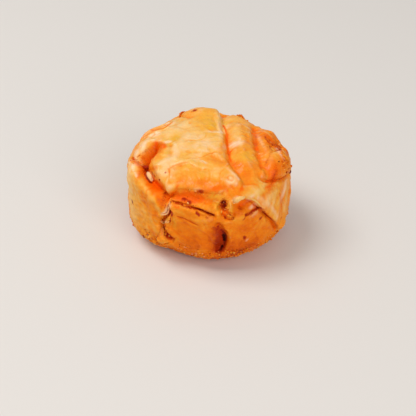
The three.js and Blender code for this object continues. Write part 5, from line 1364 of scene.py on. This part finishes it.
# =====================================================================
# 10. Torn edges, fibres, curled bits and crumbs that cling to the crust
# =====================================================================
# (points, width mm, thickness mm, (lift at the start, middle, end) mm, roll of the
#  section, tone, pale, burn)
FLAKES = [
    ([(-117.5, 53.1), (-118.2, 56.1), (-120.5, 59), (-122.5, 61.9), (-125.8, 63.9)], 2, 0.9, (0.1, 0.8, 0), 20, 0.30, 0.5, 0),  # pale torn strip at the split
    ([(-126.5, 68.4), (-122.8, 68), (-118.8, 66.4)], 1.5, 0.7, (0, 0.6, 0), 10, 0.36, 0.35, 0),  # second pale strip
    ([(-124.5, 70.5), (-124.5, 74.2), (-124.2, 78.1)], 0.9, 0.6, (0, 0.4, 0), 0, 0.42, 0.15, 0),  # fibre in the split
    ([(-117.2, 62.3), (-116.8, 65.2), (-117.8, 69.1)], 1, 0.6, (0, 0.3, 0), 0, 0.46, 0.1, 0),  # fibre in the split
    ([(-126.8, 78.5), (-125, 80.6), (-122, 81.2)], 2.4, 1.2, (0, 0.4, 0), 0, 0.44, 0, 0),  # lump at the split
    ([(-129.8, 80.6), (-128.2, 83.4)], 1.7, 1.0, (0, 0.4, 0), 0, 0.38, 0.2, 0),  # lump at the split
    ([(-136.8, 83.2), (-134.8, 86.3)], 1.6, 0.8, (0, 0.4, 0), 20, 0.34, 0.35, 0),  # flakes at the left foot
    ([(-133, 81.2), (-131.8, 84.4)], 1.4, 0.7, (0, 0.6, 0), 0, 0.55, 0, 0),
    ([(-128.2, 84.5), (-124, 84.5), (-118, 81.8)], 1.8, 0.8, (0, 0.5, 0), 0, 0.46, 0, 0),
    ([(-141.2, 82.8), (-139.2, 86.3)], 1.4, 0.6, (0, 0.5, 0), 0, 0.38, 0.2, 0),
    ([(-138, 88.6), (-136.8, 91.8)], 1.3, 0.6, (0, 0.5, 0), 0, 0.3, 0.3, 0),
    ([(-127.8, 88.1), (-123.2, 87.7)], 1.5, 0.6, (0, 0.5, 0), 0, 0.44, 0.2, 0),
    ([(116.2, 37.6), (113.4, 39.0), (110.2, 38.8), (108.4, 37.8)], 1.7, 1.3, (0, 0.7, 0), 10, 0.55, 0, 0.3),  # curl on the rear rim
    ([(106.5, 38.3), (103.2, 39.2), (99.5, 39.3), (95.5, 38.8)], 1.4, 0.9, (0, 0.4, 0), 0, 0.52, 0, 0.3),  # rear rim, torn edge
    ([(62, 39.0), (58.5, 39.7), (53.8, 39.8)], 1.3, 0.9, (0, 0.4, 0), 0, 0.5, 0, 0.25),
    ([(-10.2, 52.3), (-10, 54.1), (-12.8, 54.3)], 1, 0.7, (0.2, 0.8, 0.4), 0, 0.6, 0, 0.75),  # right rim, scorched tip
    ([(-73.5, 51), (-71.5, 49.6), (-68.5, 48.9), (-64.5, 49.0)], 2.8, 1.8, (0, 0.35, 0), 0, 0.18, 0.35, 0),  # rolled tip of the flap
    ([(-64, 49.6), (-60, 50.8), (-56.5, 53.7), (-54, 57.2)], 1.4, 0.9, (0, 0.35, 0), 0, 0.24, 0.25, 0),  # lip of the flap
    ([(-104.5, 51.3), (-103.2, 51.9)], 1.2, 0.6, (0.1, 0.5, 0.1), 0, 0.3, 0.35, 0),  # light spot by the seam
    ([(-98.8, 23.7), (-93.7, 24.2), (-90, 26)], 0.9, 0.5, (0, 0.35, 0), 0, 0.2, 0.6, 0),  # wavy fold on the crown
    ([(-75.5, 49.2), (-75.5, 51.6), (-76, 53.9)], 1.1, 0.7, (0, 0.6, 0), 0, 0.36, 0.3, 0),  # crumbs by the burnt spot
    ([(-80.8, 53.5), (-79, 54.3), (-77, 53.5)], 0.9, 0.6, (0, 0.5, 0), 0, 0.6, 0, 0.3),
    ([(-81.2, 50), (-79.8, 49.2), (-78.2, 50.2)], 0.9, 0.6, (0, 0.5, 0), 0, 0.7, 0, 0.8),
    ([(-79.8, 52), (-78, 51.4)], 0.9, 0.6, (0, 0.5, 0), 0, 0.7, 0, 0.7),
    ([(-77, 55.3), (-75.5, 56.8), (-75.2, 58.8)], 1, 0.6, (0, 0.7, 0), 0, 0.5, 0, 0.2),  # fold at the foot of the burnt spot
    ([(-174.5, 46.5), (-167.2, 45.3), (-161.5, 44.7)], 1.1, 0.6, (0.1, 0.6, 0.1), 0, 0.42, 0.2, 0),  # notched edge of the left rim
    # hidden sides
    ([(122, 53), (123.5, 57), (121, 62)], 1.6, .7, (.2, .8, .2), 10, .25, .7, 0),
    ([(121, 66), (123, 70), (121.5, 75)], 1.1, .5, (.1, .6, .1), 0, .35, .5, 0),
    ([(118.5, 70), (119, 74)], 1.0, .5, (0, .5, 0), 0, .42, .3, 0),
    ([(64, 80), (58, 75), (52, 69)], 1.3, .7, (.1, .7, .2), 0, .3, .4, 0),
    ([(94, 53.6), (88, 53.9), (82, 54.6)], 1.1, .6, (.1, .7, .1), 0, .5, 0, .4),
    ([(166, 58), (165.5, 63), (161.5, 70)], 1.0, .6, (.1, .5, .1), 0, .45, 0, .2),
    ([(144, 88), (150, 89)], 1.5, .7, (0, .5, 0), 0, .4, .3, 0), ([(100, 88), (106, 89)], 1.6, .7, (0, .5, 0), 0, .5, .1, 0),
    ([(52, 88), (47, 90)], 1.4, .6, (0, .5, 0), 0, .42, .3, 0), ([(8, 87), (2, 88)], 1.5, .6, (0, .5, 0), 0, .5, 0, 0),
]

# lumps of dough: start, end, (half length, half width, half height) mm, lift mm, tone, pale, burn
CHUNKS = [
    ((-142.4, 41.9), (-133.4, 45.3), (3.7, 1.8, 1.5), 1.1, 0.12, 0.45, 0),  # in the opening, pale
    ((-149.8, 41.6), (-144.2, 40.9), (2.1, 1.0, 0.8), 1.0, 0.85, 0, 0.5),  # its scorched cap
]

tree = KDTree(N_SURF)
for i, p in enumerate(PS):
    tree.insert(p, i)
tree.balance()
N_BODY = vertex_normals(P)


def on_body(q):
    """Places and outward directions on the finished body, for points of the plain drum."""
    places, outward = [], []
    for p in q:
        near = tree.find_n(p, 8)
        ids = [n[1] for n in near]
        w = np.array([1 / (n[2] + 0.25) for n in near])[:, None]
        places.append((P[ids] * w).sum(0) / w.sum())
        outward.append((N_BODY[ids] * w).sum(0))
    places, outward = np.array(places), np.array(outward)
    return places, outward / np.linalg.norm(outward, axis=1, keepdims=True)


def soften(x, passes):
    for _ in range(passes):
        x = np.concatenate([x[:1], (x[:-2] + 2 * x[1:-1] + x[2:]) / 4, x[-1:]])
    return x


def flake(points, width, thick, lift, roll, seed, around=10):
    """A closed strip that tapers to both ends and lies along the points."""
    p, n = on_body(drum(catmull(chart(points), 0.4)))
    p, n = soften(p, 3), soften(n, 6)
    t = np.gradient(p, axis=0)
    t /= np.linalg.norm(t, axis=1, keepdims=True)
    n -= (n * t).sum(1, keepdims=True) * t
    n /= np.linalg.norm(n, axis=1, keepdims=True)
    side = np.cross(t, n)
    u = np.linspace(0, 1, len(p))
    rise = lift[0] * (1 - u) ** 2 + 2 * u * (1 - u) * (2 * lift[1] - 0.5 * (lift[0] + lift[2])) + lift[2] * u ** 2
    c = p + n * rise[:, None]
    taper = np.clip(np.sin(np.pi * (0.03 + 0.94 * u)), 0, 1) ** 0.6
    jitter = 1 + 0.35 * noise(p, 1.4, seed)
    a = np.linspace(0, 2 * np.pi, around, endpoint=False)
    bumpy = 1 + 0.12 * np.sin(3 * a + seed)[None] * np.sin(9 * u + seed)[:, None]
    x = np.cos(a)[None] * (0.5 * width * taper * jitter)[:, None] * bumpy
    y = np.sin(a)[None] * (0.5 * thick * taper)[:, None] * bumpy
    r = rad(roll)
    v = c[:, None] + side[:, None] * (x * math.cos(r) - y * math.sin(r))[..., None] + n[:, None] * (x * math.sin(r) + y * math.cos(r))[..., None]
    m = len(p)
    v = np.concatenate([v.reshape(-1, 3), c[:1], c[-1:]])
    faces = []
    for i in range(m - 1):
        for j in range(around):
            k = (j + 1) % around
            faces.append((i * around + j, (i + 1) * around + j, (i + 1) * around + k, i * around + k))
    for j in range(around):
        k = (j + 1) % around
        faces.append((m * around, j, k))
        faces.append((m * around + 1, (m - 1) * around + k, (m - 1) * around + j))
    return v, faces


def joined(name, pieces, material):
    """pieces: (points, faces, values of the fields). One mesh with the same fields."""
    verts, faces, start = [], [], 0
    for v, f, _ in pieces:
        verts.append(v)
        faces += [tuple(i + start for i in face) for face in f]
        start += len(v)
    verts = np.concatenate(verts)
    verts[:, 2] = np.maximum(verts[:, 2], 0.05)
    ob = add_mesh(name, verts, faces, material)
    for field in FIELDS:
        full = np.concatenate([np.full(len(v), float(values.get(field, 0.0))) for v, _, values in pieces])
        layer = ob.data.attributes.new(field, 'FLOAT', 'POINT')
        layer.data.foreach_set("value", full.astype(np.float32))
    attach(ob, "root")
    return ob


def ball(rings=5, around=8):
    """A small ball: its points and faces."""
    v = [(0, 0, 1.0)]
    for i in range(1, rings):
        t = math.pi * i / rings
        for j in range(around):
            s = 2 * math.pi * (j + 0.5 * (i % 2)) / around
            v.append((math.sin(t) * math.cos(s), math.sin(t) * math.sin(s), math.cos(t)))
    v.append((0, 0, -1.0))
    f = []
    for j in range(around):
        k = (j + 1) % around
        f.append((0, 1 + j, 1 + k))
        for i in range(rings - 2):
            a, b = 1 + i * around, 1 + (i + 1) * around
            f += [(a + j, b + j, a + k), (a + k, b + j, b + k)] if i % 2 else [(a + j, b + j, b + k), (a + j, b + k, a + k)]
        f.append((len(v) - 1, 1 + (rings - 2) * around + k, 1 + (rings - 2) * around + j))
    return np.array(v), f


def chunk(start, end, half, lift, seed):
    """An uneven lump of dough that lies from start to end; half: its half sizes along,
    across and outward."""
    p, n = on_body(drum(chart([start, end])))
    n = n.mean(0)
    t = p[1] - p[0]
    t -= (t @ n) * n / (n @ n)
    t, n = t / np.linalg.norm(t), n / np.linalg.norm(n)
    side = np.cross(t, n)
    v, f = ball(14, 22)
    v = v * (1 + 0.16 * noise(v, 0.9, seed) + 0.06 * noise(v, 0.4, seed + 1))[:, None]
    v = v[:, [2, 0, 1]] * half
    return p.mean(0) + n * lift + v[:, :1] * t + v[:, 1:2] * side + v[:, 2:] * n, f


pieces = []
for i, (points, width, thick, lift, roll, tone, pale_and_highlight, burn) in enumerate(FLAKES):
    v, f = flake(points, width, thick, lift, roll, 200 + i)
    pieces.append((v, f, {"tone": tone, "pale_and_highlight": pale_and_highlight, "burn": burn, "rough": .3, "gloss": .05}))
for i, (start, end, half, lift, tone, pale_and_highlight, burn) in enumerate(CHUNKS):
    v, f = chunk(start, end, half, lift, 300 + i)
    pieces.append((v, f, {"tone": tone, "pale_and_highlight": pale_and_highlight, "burn": burn, "rough": .2, "gloss": .1}))
flakes = joined("bread_twist_flakes", pieces, crust)

# crumbs: (angle, run, spread in degrees, spread in run, how many)
CRUMBS = [
    (-105, 87, 40, 6, 150), (-60, 88, 40, 6, 120), (-132, 85, 9, 6, 60), (-122, 68, 3, 9, 22), (-80, 52, 3.5, 4, 14),
    (-79, 57.5, 4, 2, 8), (-97, 45.5, 8, 1.5, 10), (3, 42, 7, 5, 20), (-12, 49, 8, 5, 24), (-110, 54, 6, 1.2, 8),
    (20, 88, 40, 6, 110), (75, 88, 40, 6, 110), (130, 88, 40, 6, 110), (175, 88, 30, 6, 80), (121, 66, 3, 9, 20), (112, 41, 8, 2, 14),
    (56, 40, 8, 2, 10), (50, 68, 10, 5, 12), (163, 68, 3, 8, 12),
]
crumb_rng = np.random.RandomState(23)
ball_v, ball_f = ball()
pieces = []
for a, r, da, dr, count in CRUMBS:
    at = np.stack([a + da * crumb_rng.uniform(-1, 1, count), r + dr * crumb_rng.uniform(-1, 1, count)], -1)
    at[:, 1] = np.minimum(at[:, 1], 95.5)
    p, n = on_body(drum(chart(at)))
    for k in range(count):
        size = 0.26 + 0.58 * crumb_rng.rand() ** 2
        v = ball_v * (1 + 0.35 * crumb_rng.uniform(-1, 1, (len(ball_v), 1)))
        spin, _ = np.linalg.qr(crumb_rng.normal(size=(3, 3)))
        if np.linalg.det(spin) < 0:
            spin[:, 0] *= -1
        v = (v * [1.0, crumb_rng.uniform(0.6, 1.0), crumb_rng.uniform(0.45, 0.8)]) @ spin.T * size + p[k] + n[k] * 0.25 * size
        tone = crumb_rng.choice([.30, .42, .52, .62, .76, .92], p=[.12, .26, .27, .22, .09, .04])
        pieces.append((v, ball_f, {"tone": tone, "pale_and_highlight": .35 * (crumb_rng.rand() < .2), "rough": .4, "gloss": .02}))
crumb_mesh = joined("bread_twist_crumbs", pieces, crust)

# =====================================================================
# 11. Floor
# =====================================================================
floor_mat = bpy.data.materials.new("pale_floor")
floor_mat.use_nodes = True
fs = floor_mat.node_tree.nodes["Principled BSDF"]
fs.inputs["Base Color"].default_value = (0.72, 0.695, 0.67, 1)
fs.inputs["Roughness"].default_value = 0.6
bpy.ops.mesh.primitive_plane_add(size=6.0, location=(0, 0, 0))
floor = bpy.context.object
floor.name = "floor"
floor.data.materials.append(floor_mat)

# =====================================================================
# 12. Sizes, and the end
# =====================================================================
print("mesh faces", len(body.data.polygons), "curv", float(lap.min()), float(lap.max()))
